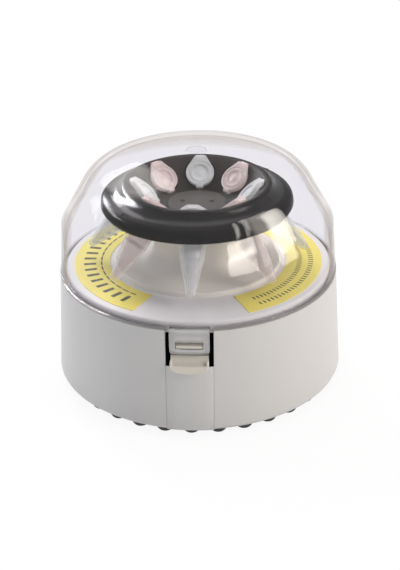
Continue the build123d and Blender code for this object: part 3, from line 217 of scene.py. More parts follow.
class Surface(Nodes):
    """One material and the nodes that make it."""

    def __init__(self, name: str) -> None:
        """Starts an empty material with its object coordinates in millimetres."""
        self.material = bpy.data.materials.new(name)
        self.material.use_nodes = True
        super().__init__(self.material.node_tree)
        scaled = self.node(
            "ShaderNodeVectorMath",
            {"operation": "SCALE"},
            {
                "Vector": self.node("ShaderNodeTexCoord", {}, {}).outputs["Object"],
                "Scale": 1.0 / MM,
            },
        )
        self.place = scaled.outputs["Vector"]

    def axes(self) -> tuple[Value, Value, Value]:
        """The x, y and z of the place, in millimetres."""
        parts = self.node("ShaderNodeSeparateXYZ", {}, {0: self.place})
        return tuple(Value(self, parts.outputs[axis]) for axis in "XYZ")

    def radius(self) -> Value:
        """The distance from the upright axis, in millimetres."""
        x, y, _ = self.axes()
        return (x * x + y * y) ** 0.5

    def facing(self) -> Value:
        """0 where a face is turned to the eye, rising to 1 where it is seen edge on."""
        made = self.node("ShaderNodeLayerWeight", {}, {"Blend": 0.5})
        return Value(self, made.outputs["Facing"])

    def stretched(self, scale: tuple[float, float, float]) -> bpy.types.NodeSocket:
        """The place with each axis multiplied, for grain that runs one way."""
        made = self.node(
            "ShaderNodeVectorMath", {"operation": "MULTIPLY"}, {0: self.place, 1: scale}
        )
        return made.outputs["Vector"]

    def noise(
        self,
        size: float,
        detail: float = 2.0,
        roughness: float = 0.5,
        place: bpy.types.NodeSocket | None = None,
    ) -> Value:
        """Soft noise.

        Args:
            size: The size of its blotches in millimetres.
            detail: How many finer layers it has.
            roughness: How strong the finer layers are.
            place: Other coordinates than the object's.

        Returns:
            A value about 0.5.
        """
        made = self.node(
            "ShaderNodeTexNoise",
            {"noise_dimensions": "3D"},
            {
                "Vector": place or self.place,
                "Scale": 1.0 / size,
                "Detail": detail,
                "Roughness": roughness,
            },
        )
        return Value(self, made.outputs["Fac"])

    def mix(self, amount: Number, below: Link, above: Link) -> bpy.types.NodeSocket:
        """Mixes two colours.

        Args:
            amount: 0 for the colour below, 1 for the one above.
            below: A colour or a link.
            above: A colour or a link.

        Returns:
            The mixed colour.
        """
        made = self.node(
            "ShaderNodeMix",
            {"data_type": "RGBA", "blend_type": "MIX", "clamp_factor": True},
            {0: amount, 6: below, 7: above},
        )
        return made.outputs[2]

    def bump(self, height: Value, depth: float, edge: float = 0.0) -> bpy.types.NodeSocket:
        """A bumped normal.

        Args:
            height: The relief, from 0 to 1.
            depth: How deep the relief is in millimetres.
            edge: The radius in millimetres that sharp edges seem to have.

        Returns:
            The normal.
        """
        inputs: dict[str | int, Link] = {"Height": height, "Distance": depth * MM}
        if edge:
            soft = self.node("ShaderNodeBevel", {"samples": 4}, {"Radius": edge * MM})
            inputs["Normal"] = soft.outputs["Normal"]
        return self.node("ShaderNodeBump", {}, inputs).outputs["Normal"]

    def crevice(self, reach: float) -> Value:
        """1 on open faces, falling in corners within a reach in millimetres."""
        made = self.node(
            "ShaderNodeAmbientOcclusion", {"samples": 6}, {"Distance": reach * MM}
        )
        return Value(self, made.outputs["AO"])

    def see_through(self, colour: Colour) -> bpy.types.NodeSocket:
        """A shader that lets light through and colours it."""
        return self.node("ShaderNodeBsdfTransparent", {}, {"Color": colour}).outputs[0]

    def principled(self, inputs: dict[str | int, Link]) -> bpy.types.NodeSocket:
        """A Principled shader with the sockets given."""
        return self.node("ShaderNodeBsdfPrincipled", {}, inputs).outputs["BSDF"]

    def finish(self, shader: bpy.types.NodeSocket) -> bpy.types.Material:
        """Leads a shader to the output and hands back the material."""
        self.node("ShaderNodeOutputMaterial", {}, {"Surface": shader})
        return self.material


def tint(colour: Colour, factor: float) -> Colour:
    """A colour made lighter or darker by a factor."""
    return tuple(min(1.0, part * factor) for part in colour)


# ---------- finishes ----------


@dataclass(frozen=True)
class MouldedPlastic:
    """Injection-moulded plastic with a spark-eroded grain, faint flow marks, rubbed corners and
    painted shade in its corners and creases.
    """

    name: str
    colour: Colour
    roughness: float = 0.42
    grain: float = 0.35
    grain_depth: float = 0.012
    mottle: float = 0.03
    edge: float = 0.2
    # strength of the painted shade in corners and creases
    crevice_shade: float = 0.12
    gloss: float = 0.5

    def paint(self) -> bpy.types.Material:
        """Mixes the material."""
        s = Surface(self.name)
        cloud = s.noise(26.0, 3.0)
        speck = s.noise(0.9, 2.0)
        tone = 0.6 * cloud + 0.4 * speck
        colour = s.mix(tone, tint(self.colour, 1 - self.mottle), tint(self.colour, 1 + self.mottle))
        # Painted shade: the colour darkens patchily toward 55 % of its tone in corners and creases
        # within 2.2 mm.
        corner = 1 - s.crevice(2.2)
        painted_crevice_shade = 2 * self.crevice_shade * corner * s.noise(5.0, 4.0)
        colour = s.mix(painted_crevice_shade, colour, tint(self.colour, 0.55))
        grain = s.noise(self.grain, 3.0, 0.6)
        rubbed = s.noise(9.0, 5.0, 0.65).rise(0.55, 0.8)
        rough = self.roughness + 0.08 * grain - 0.07 * rubbed
        shader = s.principled(
            {
                "Base Color": colour,
                "Roughness": rough,
                "IOR": 1.49,
                "Specular IOR Level": self.gloss,
                "Normal": s.bump(grain, self.grain_depth, self.edge),
            }
        )
        return s.finish(shader)


@dataclass(frozen=True)
class RotorPlastic:
    """Glass-filled charcoal plastic: duller in the bowl, where a lighter, browner colour is painted
    light from above, and polished on the rolled rim.
    """

    name: str = "rotor_charcoal"
    colour: Colour = (0.008, 0.0075, 0.0075)
    # the bowl's colour with painted light from above in it: lighter and browner than the outer
    # charcoal
    bowl_toplit_colour: Colour = (0.055, 0.047, 0.043)
    bowl_reach: float = 31.5
    bowl_fade: float = 1.5
    roll_inner: float = 33.0
    roll_outer: float = 38.1
    roll_coat: float = 0.26
    roll_fade: tuple[float, float] = (0.5, 0.7)

    def paint(self) -> bpy.types.Material:
        """Mixes the material."""
        s = Surface(self.name)
        radius = s.radius()
        bowl = radius.rise(self.bowl_reach + self.bowl_fade, self.bowl_reach - self.bowl_fade)
        inner_fade, outer_fade = self.roll_fade
        roll = radius.rise(self.roll_inner - inner_fade, self.roll_inner + inner_fade)
        roll = roll * radius.rise(self.roll_outer + outer_fade, self.roll_outer - outer_fade)
        pebbles = s.noise(1.1, 3.0, 0.6)
        flecks = s.noise(0.5, 1.0).rise(0.62, 0.75)
        cloud = s.noise(14.0, 4.0, 0.6)
        # Painted light: the upward-facing bowl is coloured lighter and browner, as if lit from
        # above.
        colour = s.mix(bowl, self.colour, self.bowl_toplit_colour)
        colour = s.mix(0.15 * cloud, colour, tint(self.bowl_toplit_colour, 1.3))
        colour = s.mix(0.2 * flecks, colour, tint(self.bowl_toplit_colour, 2.2))
        shader = s.principled(
            {
                "Base Color": colour,
                "Roughness": 0.16 + 0.08 * pebbles + 0.05 * cloud + 0.35 * bowl,
                "Specular IOR Level": 0.02,
                "Coat Weight": self.roll_coat * roll,
                "Coat Roughness": 0.17,
                "Normal": s.bump(pebbles, 0.012, 0.25),
            }
        )
        return s.finish(shader)


@dataclass(frozen=True)
class ScaleRow:
    """A row of graduations on a label: offset from its middle, length, pitch and inked share."""

    offset: float
    length: float
    pitch: float
    share: float


@dataclass(frozen=True)
class PrintedFilm:
    """Yellow vinyl film with a printed scale: rows of graduations in dark ink."""

    name: str
    inner: float
    outer: float
    start: float
    stop: float
    side: float
    rows: tuple[ScaleRow, ...]
    margin: float = 8.0
    colour: Colour = (0.95, 0.82, 0.17)
    ink: Colour = (0.05, 0.045, 0.03)

    def paint(self) -> bpy.types.Material:
        """Mixes the material."""
        s = Surface(self.name)
        x, y, _ = s.axes()
        radius = s.radius()
        turn = s.math("ARCTAN2", x * self.side, 0 - y) * (180 / math.pi)
        inside = (turn > self.start + self.margin) * (turn < self.stop - self.margin)
        ink: Number = 0.0
        for row in self.rows:
            place = (self.inner + self.outer) / 2 + row.offset
            bars = abs(turn % row.pitch - row.pitch / 2) < row.pitch * row.share / 2
            ink = s.math("MAXIMUM", ink, bars * (abs(radius - place) < row.length / 2))
        ink = ink * inside * s.noise(0.5, 2.0).rise(0.2, 0.42)
        base = s.mix(s.noise(7.0, 4.0), tint(self.colour, 0.94), tint(self.colour, 1.05))
        colour = s.mix(ink, base, self.ink)
        shader = s.principled(
            {
                "Base Color": colour,
                "Roughness": 0.34 + 0.1 * s.noise(3.0, 3.0) + 0.12 * ink,
                "Normal": s.bump(s.noise(1.6, 3.0), 0.015),
            }
        )
        return s.finish(shader)


@dataclass(frozen=True)
class ClearPlastic:
    """Clear moulded sheet: see-through when faced, warm and dull where it is seen edge on."""

    name: str
    tint_colour: Colour = (0.947, 0.943, 0.957)
    gloss_colour: Colour = (0.98, 0.97, 0.95)
    rim_colour: Colour = (0.46, 0.37, 0.3)
    shine: float = 0.012
    rim_from: float = 0.68
    rim_full: float = 0.77
    rim_cover: float = 0.34
    haze: float = 0.004
    frost: float = 0.0
    roughness: float = 0.01
    seam: tuple[float, float] = (0.0, 0.0)
    low_line: float = 0.12
    high_line: float = 0.05
    line_cover: float = 0.25
    seam_colour: Colour = (0.05, 0.048, 0.05)

    def paint(self) -> bpy.types.Material:
        """Mixes the material."""
        s = Surface(self.name)
        facing = s.facing()
        _, _, z = s.axes()
        low, high = self.seam
        line = (abs(z - low) < self.low_line) + (abs(z - high) < self.high_line)
        line = line * facing.rise(0.97, 0.75)
        rim = facing.rise(self.rim_from, self.rim_full)
        wipes = s.noise(6.0, 5.0, 0.7, s.stretched((1.0, 0.35, 0.6)))
        amount = self.shine + self.frost + self.haze * wipes.rise(0.5, 0.75) + self.rim_cover * rim
        amount = amount + 0.5 * facing**9 + self.line_cover * line
        colour = s.mix(rim, self.gloss_colour, self.rim_colour)
        gloss = s.principled(
            {
                "Base Color": s.mix(line, colour, self.seam_colour),
                "Metallic": 1.0,
                "Roughness": self.roughness + self.frost + 0.02 * wipes.rise(0.5, 0.8),
                "Normal": s.bump(s.noise(9.0, 2.0), 0.012),
            }
        )
        return s.finish(s.layer(amount, s.see_through(self.tint_colour), gloss))


@dataclass(frozen=True)
class TubePlastic:
    """Thin polypropylene: nearly clear when faced, milky towards its edges, with a faint painted
    glow that stands in for light carried through the plastic.
    """

    name: str
    colour: Colour = (0.93, 0.94, 0.93)
    film: Colour = (0.95, 0.955, 0.955)
    cover: float = 0.2
    edge: float = 0.7
    # strength of the painted glow: emission that stands in for light carried through the plastic
    glow: float = 0.06

    def paint(self) -> bpy.types.Material:
        """Mixes the material."""
        s = Surface(self.name)
        milk = s.noise(2.5, 3.0)
        amount = self.cover + 0.1 * milk + self.edge * s.facing() ** 3
        body = s.principled(
            {
                "Base Color": s.mix(milk, tint(self.colour, 0.93), tint(self.colour, 1.05)),
                "Roughness": 0.16 + 0.12 * s.noise(1.2, 3.0),
                "Specular IOR Level": 0.8,
                # Painted light: a faint emission in the plastic's own colour stands in for light
                # carried through it.
                "Emission Color": self.colour,
                "Emission Strength": self.glow,
                "Normal": s.bump(s.noise(0.8, 3.0), 0.02, 0.15),
            }
        )
        return s.finish(s.layer(amount, s.see_through(self.film), body))


@dataclass(frozen=True)
class TurnedMetal:
    """Metal with fine tool marks round the upright axis and a little tarnish."""

    name: str
    colour: Colour
    roughness: float = 0.28
    marks: float = 0.12

    def paint(self) -> bpy.types.Material:
        """Mixes the material."""
        s = Surface(self.name)
        rings = s.noise(0.5, 3.0, 0.6, s.stretched((0.08, 0.08, 1.0)))
        stain = s.noise(4.0, 5.0, 0.65)
        shader = s.principled(
            {
                "Base Color": s.mix(stain, tint(self.colour, 0.82), tint(self.colour, 1.06)),
                "Metallic": 1.0,
                "Roughness": self.roughness + self.marks * rings + 0.1 * stain,
                "Normal": s.bump(rings, 0.01, 0.1),
            }
        )
        return s.finish(shader)


@dataclass(frozen=True)
class SoftRubber:
    """Matt black rubber with a dusty bloom."""

    name: str = "rubber_black"
    colour: Colour = (0.02, 0.02, 0.021)

    def paint(self) -> bpy.types.Material:
        """Mixes the material."""
        s = Surface(self.name)
        bloom = s.noise(1.8, 5.0, 0.7).rise(0.45, 0.8)
        shader = s.principled(
            {
                "Base Color": s.mix(0.4 * bloom, self.colour, (0.09, 0.088, 0.085)),
                "Roughness": 0.62 + 0.2 * bloom,
                "Normal": s.bump(s.noise(0.3, 3.0), 0.02, 0.3),
            }
        )
        return s.finish(shader)


@dataclass(frozen=True)
class BoardLacquer:
    """Green solder mask over etched tracks."""

    name: str = "board_green"
    colour: Colour = (0.02, 0.16, 0.07)
    pitch: float = 2.6
    track: float = 0.35

    def paint(self) -> bpy.types.Material:
        """Mixes the material."""
        s = Surface(self.name)
        x, y, _ = s.axes()
        half = self.pitch / 2
        running = s.noise(9.0, 0.0)
        lanes = (abs(x % self.pitch - half) < self.track) * (running > 0.48)
        cross = (abs(y % self.pitch - half) < self.track) * (running < 0.48)
        etched = s.math("MAXIMUM", lanes, cross)
        shader = s.principled(
            {
                "Base Color": s.mix(0.8 * etched, self.colour, tint(self.colour, 2.1)),
                "Roughness": 0.28 + 0.15 * s.noise(3.0, 3.0),
                "Normal": s.bump(etched, 0.03),
            }
        )
        return s.finish(shader)


Finish = (
    MouldedPlastic
    | RotorPlastic
    | PrintedFilm
    | ClearPlastic
    | TubePlastic
    | TurnedMetal
    | SoftRubber
    | BoardLacquer
)


class PaintShop:
    """Mixes each finish once and puts it on nodes and pieces."""

    def __init__(self) -> None:
        """Starts with no material mixed."""
        self._mixed: dict[Finish, bpy.types.Material] = {}

    def material(self, finish: Finish) -> bpy.types.Material:
        """The material of a finish, mixed on its first use."""
        if finish not in self._mixed:
            self._mixed[finish] = finish.paint()
        return self._mixed[finish]

    def dress(self, piece: bpy.types.Object, finish: Finish) -> None:
        """Puts a finish on every material slot of a piece."""
        material = self.material(finish)
        if not piece.material_slots:
            piece.data.materials.append(material)
        for holder in piece.material_slots:
            holder.material = material

    def dress_nodes(self, names: tuple[str, ...], finish: Finish) -> None:
        """Puts a finish on CAD nodes, by their names."""
        for name in names:
            self.dress(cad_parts[name], finish)


# ---------- shapes ----------

Edge = Callable[[float], float]
Ring = tuple[float | Edge, float]
Outline = Sequence[tuple[float, float]]
Loop = list[bmesh.types.BMVert]
WELD_GAP = 0.001


def toward(azimuth: float, elevation: float) -> Vector:
    """The direction at an azimuth and elevation in degrees; azimuth 0 is the front."""
    turn, tip = math.radians(azimuth), math.radians(elevation)
    return Vector((math.sin(turn) * math.cos(tip), -math.cos(turn) * math.cos(tip), math.sin(tip)))


def bridge(shape: bmesh.types.BMesh, loops: Sequence[Loop], capped: bool = False) -> None:
    """Joins each closed loop of corners to the next with faces.

    Args:
        shape: What the faces are added to.
        loops: The loops, all of one length; a corner that comes twice in a face counts once.
        capped: Whether the first and the last loop are filled.
    """
    for near, far in zip(loops, loops[1:]):
        for index in range(len(near)):
            after = (index + 1) % len(near)
            corners = [near[index], near[after], far[after], far[index]]
            shape.faces.new(list(dict.fromkeys(corners)))
    if capped:
        shape.faces.new(loops[0][::-1])
        shape.faces.new(loops[-1])


def along_path(path: Sequence[Vector], index: int) -> Vector:
    """The direction of a path at one of its points."""
    before, after = path[max(index - 1, 0)], path[min(index + 1, len(path) - 1)]
    return (after - before).normalized()


def add_curve(shape: bmesh.types.BMesh, curve: bpy.types.Curve, place: Matrix) -> None:
    """Adds the faces of a curve or of text to a shape and uses the curve up."""
    holder = bpy.data.objects.new(curve.name, curve)
    mesh = bpy.data.meshes.new_from_object(holder)
    bpy.data.objects.remove(holder)
    bpy.data.curves.remove(curve)
    mesh.transform(place)
    shape.from_mesh(mesh)
    bpy.data.meshes.remove(mesh)


def spun(shape: bmesh.types.BMesh, rings: Sequence[Ring], segments: int, place: Matrix) -> None:
    """Spins a run of rings about an axis.

    Args:
        shape: What the faces are added to.
        rings: Each ring's radius, or its radius by angle, and its height; one at 0 is a point.
        segments: How many faces go round.
        place: Where the axis is, as a matrix.
    """
    loops = []
    for radius, height in rings:
        if radius == 0:
            loops.append([shape.verts.new(place @ Vector((0.0, 0.0, height)))] * segments)
            continue
        loop = []
        for index in range(segments):
            angle = math.tau * index / segments
            reach = radius(angle) if callable(radius) else radius
            point = Vector((reach * math.cos(angle), reach * math.sin(angle), height))
            loop.append(shape.verts.new(place @ point))
        loops.append(loop)
    bridge(shape, loops)


def rounded(points: Sequence[tuple[float, float, float]], steps: int = 5) -> list[Ring]:
    """Rounds the corners of an outline.

    Args:
        points: Each corner's radius, height and how far along its sides the rounding starts.
        steps: How many points each rounded corner gets.

    Returns:
        The rounded outline as rings.
    """
    run: list[Ring] = []
    for index, (across, up, cut) in enumerate(points):
        corner = Vector((across, up))
        if not cut:
            run.append((across, up))
            continue
        before = Vector(points[index - 1][:2])
        after = Vector(points[index + 1][:2])
        start = corner + (before - corner).normalized() * cut
        end = corner + (after - corner).normalized() * cut
        for step in range(steps + 1):
            share = step / steps
            bend = start.lerp(corner, share).lerp(corner.lerp(end, share), share)
            run.append((bend.x, bend.y))
    return run


def strap(
    shape: bmesh.types.BMesh, path: Outline, width: float, thickness: float, place: Matrix
) -> None:
    """Adds a bent flat strap.

    Args:
        shape: What the faces are added to.
        path: The x and z of each bend along its middle.
        width: How wide it is along y.
        thickness: How thick it is.
        place: Where it lies.
    """
    points = [Vector((x, 0.0, z)) for x, z in path]
    side = Vector((0.0, width / 2, 0.0))
    sections = []
    for index, point in enumerate(points):
        along = along_path(points, index)
        out = Vector((-along.z, 0.0, along.x)) * (thickness / 2)
        corners = [point + out + side, point + out - side, point - out - side, point - out + side]
        sections.append([shape.verts.new(place @ corner) for corner in corners])
    bridge(shape, sections, capped=True)


def arc(
    middle: tuple[float, float], radius: float, first: float, last: float, steps: int
) -> list[tuple[float, float]]:
    """Points along an arc, from the first angle to the last in degrees."""
    angles = [math.radians(first + (last - first) * k / (steps - 1)) for k in range(steps)]
    return [(middle[0] + radius * math.cos(a), middle[1] + radius * math.sin(a)) for a in angles]


def cut_plate(
    shape: bmesh.types.BMesh,
    outlines: Sequence[Outline],
    half: float,
    edge: float,
    place: Matrix,
) -> None:
    """Adds a flat plate with softened edges.

    Args:
        shape: What the faces are added to.
        outlines: The plate's outline, then its holes.
        half: Half its thickness.
        edge: The radius of its edges.
        place: Turns the plate's x-y plane to where it lies.
    """
    curve = bpy.data.curves.new("plate", "CURVE")
    curve.dimensions = "2D"
    curve.fill_mode = "BOTH"
    curve.extrude = half - edge
    curve.bevel_depth = edge
    curve.bevel_resolution = 2
    curve.offset = -edge
    for outline in outlines:
        spline = curve.splines.new("POLY")
        spline.points.add(len(outline) - 1)
        for point, (x, y) in zip(spline.points, outline):
            point.co = (x, y, 0.0, 1.0)
        spline.use_cyclic_u = True
    add_curve(shape, curve, place)
    bmesh.ops.remove_doubles(shape, verts=shape.verts, dist=WELD_GAP)


class Workbench:
    """Turns shapes into dressed pieces that ride on a body."""

    def __init__(self, shop: PaintShop) -> None:
        """Works with one paint shop."""
        self.shop = shop

    def fit(
        self,
        name: str,
        shape: bmesh.types.BMesh,
        body: Body,
        slot: str,
        finish: Finish,
        replaced: Sequence[str] = (),
        sharp: float = 38.0,
    ) -> None:
        """Makes a piece.

        Args:
            name: The piece's name.
            shape: Its faces in millimetres, which are used up.
            body: What it rides on.
            slot: The record's material slot; not used.
            finish: Its finish.
            replaced: The CAD nodes that it stands for.
            sharp: The angle in degrees from which an edge stays sharp.
        """
        bmesh.ops.transform(shape, matrix=Matrix.Scale(MM, 4), verts=shape.verts)
        bmesh.ops.recalc_face_normals(shape, faces=shape.faces)
        mesh = bpy.data.meshes.new(name)
        shape.to_mesh(mesh)
        shape.free()
        mesh.shade_smooth()
        mesh.set_sharp_from_angle(angle=math.radians(sharp))
        made = bpy.data.objects.new(name, mesh)
        bpy.context.scene.collection.objects.link(made)
        self.shop.dress(made, finish)
        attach(made, body.value)
        if replaced:
            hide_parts(*replaced)
        log.info("%s: %d faces on %s", name, len(mesh.polygons), body.value)


# ---------- sub-assemblies ----------


@dataclass
class BaseUnit:
    """The housing with what stands still in it."""

    bench: Workbench
    feet: int = 32
    foot_place: float = 58.4
    band_inner: float = 52.8
    band_outer: float = 62.8
    band_low: float = 4.0
    band_high: float = 5.0
    foot_profile: tuple[Ring, ...] = (
        (0.0, 0.0),
        (1.4, 0.0),
        (2.3, 0.12),
        (2.95, 0.45),
        (3.45, 1.0),
        (3.85, 1.8),
        (4.15, 3.0),
        (4.3, 4.3),
    )
    strip_half: float = 10.12
    strip_low: float = 4.1
    strip_high: float = 34.5
    strip_edge: float = 0.16
    strip_lanes: tuple[float, ...] = (-6.0, -3.0, 0.0)
    strip_rows: tuple[float, ...] = (14.0, 24.0)
    strip_depth: float = 1.9
    wall_low: float = 65.0
    wall_high: float = 62.2
    wall_foot: float = 4.0
    wall_height: float = 50.75
    label_inner: float = 40.65
    label_outer: float = 55.7
    label_start: float = 26.0
    label_stop: float = 145.0
    left_scale: tuple[ScaleRow, ...] = (
        ScaleRow(0.6, 5.4, 6.5, 0.36),
        ScaleRow(-4.6, 0.7, 6.5, 0.8),
    )
    right_scale: tuple[ScaleRow, ...] = (
        ScaleRow(2.6, 2.2, 2.4, 0.38),
        ScaleRow(-2.4, 2.2, 2.4, 0.38),
    )
    shell: Finish = MouldedPlastic("housing_cream", (0.6, 0.588, 0.582), roughness=0.42)
    deck_plastic: Finish = MouldedPlastic("deck_white", (0.84, 0.825, 0.81), roughness=0.4)
    cover_plastic: Finish = MouldedPlastic("cover_cream", (0.9, 0.865, 0.79), roughness=0.55)
    dark: Finish = MouldedPlastic("dark_plastic", (0.012, 0.012, 0.013), roughness=0.45)
    # Painted shade: the latch well is near-black and almost without reflection, so the slots round
    # the latch read as deep shade.
    black: Finish = MouldedPlastic("well_black", (0.004, 0.004, 0.004), roughness=0.8, gloss=0.05)
    rubber: Finish = SoftRubber()

    def dress(self) -> None:
        """Puts the finishes on the base's nodes."""
        shop = self.bench.shop
        shop.dress_nodes(("housing_shell", "base_plate"), self.shell)
        shop.dress_nodes(("deck",), self.deck_plastic)
        shop.dress_nodes(("motor_cover",), self.cover_plastic)
        for name, side, rows in (
            ("deck_label_left", -1.0, self.left_scale),
            ("deck_label_right", 1.0, self.right_scale),
        ):
            film = PrintedFilm(
                name + "_film",
                self.label_inner,
                self.label_outer,
                self.label_start,
                self.label_stop,
                side,
                rows,
            )
            shop.dress_nodes((name,), film)
        # the latch well gets the painted shade
        shop.dress_nodes(("latch_well",), self.black)
        shop.dress_nodes(
            (
                "dc_jack",
                "switch_body",
                "switch_rocker",
                "interlock_sensor",
                "interlock_feeler",
                "motor_end_cap",
                "motor_cradle",
            ),
            self.dark,
        )
        shop.dress_nodes(("damper_grommets",), self.rubber)

    def build_feet(self) -> None:
        """Builds the ring of domed feet and the band that they are moulded on."""
        shape = bmesh.new()
        corners = [
            (self.band_inner, self.band_high, 0.0),
            (self.band_inner, self.band_low, 0.3),
            (self.band_outer, self.band_low, 0.3),
            (self.band_outer, self.band_high, 0.0),
            (self.band_inner, self.band_high, 0.0),
        ]
        spun(shape, rounded(corners), 128, Matrix())
        for index in range(self.feet):
            turn = Matrix.Rotation(math.tau * index / self.feet, 4, "Z")
            place = turn @ Matrix.Translation((0.0, -self.foot_place, 0.0))
            spun(shape, self.foot_profile, 28, place)
        self.bench.fit(
            "rubber_foot_ring", shape, Body.BASE, "rubber", self.rubber, ("rubber_feet",)
        )

    def build_strip(self) -> None:
        """Builds the flush strip under the latch, rounded along its edges."""
        shape = bmesh.new()
        half, edge = self.strip_half, self.strip_edge
        hint = edge * 0.3
        profile = [(-half, self.strip_depth), (-half, edge), (-half + hint, hint)]
        profile += [(-half + edge, 0.0), *((x, 0.0) for x in self.strip_lanes)]
        profile += [(-x, depth) for x, depth in profile[-2::-1]]
        rows = []
        for height in (self.strip_low, self.strip_low + hint, *self.strip_rows, self.strip_high):
            share = (height - self.wall_foot) / (self.wall_height - self.wall_foot)
            radius = self.wall_low + (self.wall_high - self.wall_low) * share
            lift = edge * 0.5 if height == self.strip_low else 0.0
            ys = [-math.sqrt((radius - depth - lift) ** 2 - x * x) for x, depth in profile]
            row = [shape.verts.new((x, y, height)) for (x, _), y in zip(profile, ys)]
            rows.append(row)
        for low, high in zip(rows, rows[1:]):
            for index in range(len(profile) - 1):
                shape.faces.new((low[index], low[index + 1], high[index + 1], high[index]))
        self.bench.fit(
            "latch_strip",
            shape,
            Body.BASE,
            "housing",
            self.shell,
            ("front_strip",),
            sharp=60.0,
        )

    def dress_works(self) -> None:
        """Puts the finishes on the motor, the board and the fasteners."""
        shop = self.bench.shop
        steel = TurnedMetal("screw_steel", (0.62, 0.62, 0.6))
        can = TurnedMetal("motor_zinc", (0.5, 0.51, 0.52), roughness=0.36)
        bronze = TurnedMetal("bush_bronze", (0.6, 0.38, 0.18), roughness=0.4)
        spring = TurnedMetal("spring_steel", (0.45, 0.45, 0.46), roughness=0.25)
        magnet = MouldedPlastic("magnet_ferrite", (0.05, 0.05, 0.052), roughness=0.6, grain=0.6)
        parts = MouldedPlastic("part_cases", (0.03, 0.03, 0.035), roughness=0.35)
        shop.dress_nodes(
            (
                "base_screws",
                "board_screws",
                "damper_screws",
                "motor_screws",
                "hub_screw",
                "hinge_pin",
                "latch_pin",
                "motor_shaft",
                "dc_jack_nut",
                "dc_jack_pin",
            ),
            steel,
        )
        shop.dress_nodes(("motor_can", "armature"), can)
        shop.dress_nodes(("motor_bushes", "commutator", "rotor_hub"), bronze)
        shop.dress_nodes(("latch_spring",), spring)
        shop.dress_nodes(("field_magnets",), magnet)
        shop.dress_nodes(("circuit_board",), BoardLacquer())
        shop.dress_nodes(("board_parts",), parts)


@dataclass
class Latch:
    """The lever that holds the lid's tab, with the rounded rim of its thumb face."""

    bench: Workbench
    half: float = 7.6
    front: float = 65.25
    top_reach: float = 62.6
    top: float = 38.2
    shoulder_drop: float = 1.1
    side_low: float = 35.9
    sag: float = 32.95
    thickness: float = 0.6
    end_share: float = 0.35
    turn_steps: int = 9
    spread_power: float = 0.7
    fall_power: float = 0.9
    sides: int = 12
    finish: Finish = MouldedPlastic("lever_cream", (0.68, 0.635, 0.57), roughness=0.3, grain=0.5)

    def dress(self) -> None:
        """Puts the lever's finish on its node."""
        self.bench.shop.dress_nodes(("latch_lever",), self.finish)

    def build_rim(self) -> None:
        """Builds the rim that runs down both sides of the thumb face and round its lip."""
        drop = self.side_low - self.sag
        side = [
            (self.half, self.top_reach, self.top),
            (self.half + 0.05, (self.top_reach + self.front) / 2, self.top - self.shoulder_drop),
            (self.half, self.front - 0.2, self.side_low),
        ]
        for step in range(1, self.turn_steps):
            a = math.pi / 2 * step / self.turn_steps
            spread, fall = math.cos(a) ** self.spread_power, math.sin(a) ** self.fall_power
            side.append((self.half * spread, self.front, self.side_low - drop * fall))
        path = [Vector((-x, -y, z)) for x, y, z in side]
        path.append(Vector((0.0, -self.front, self.sag)))
        path += [Vector((x, -y, z)) for x, y, z in side[::-1]]
        shape = bmesh.new()
        loops = []
        for index, point in enumerate(path):
            along = along_path(path, index)
            across = along.cross(Vector((0.0, 1.0, 0.0))).normalized()
            out = across.cross(along)
            size = self.thickness * (self.end_share if index in (0, len(path) - 1) else 1.0)
            angles = [math.tau * step / self.sides for step in range(self.sides)]
            spots = [point + (across * math.cos(a) + out * math.sin(a)) * size for a in angles]
            loops.append([shape.verts.new(spot) for spot in spots])
        bridge(shape, loops, capped=True)
        self.bench.fit("latch_thumb_rim", shape, Body.LEVER, "lever", self.finish)


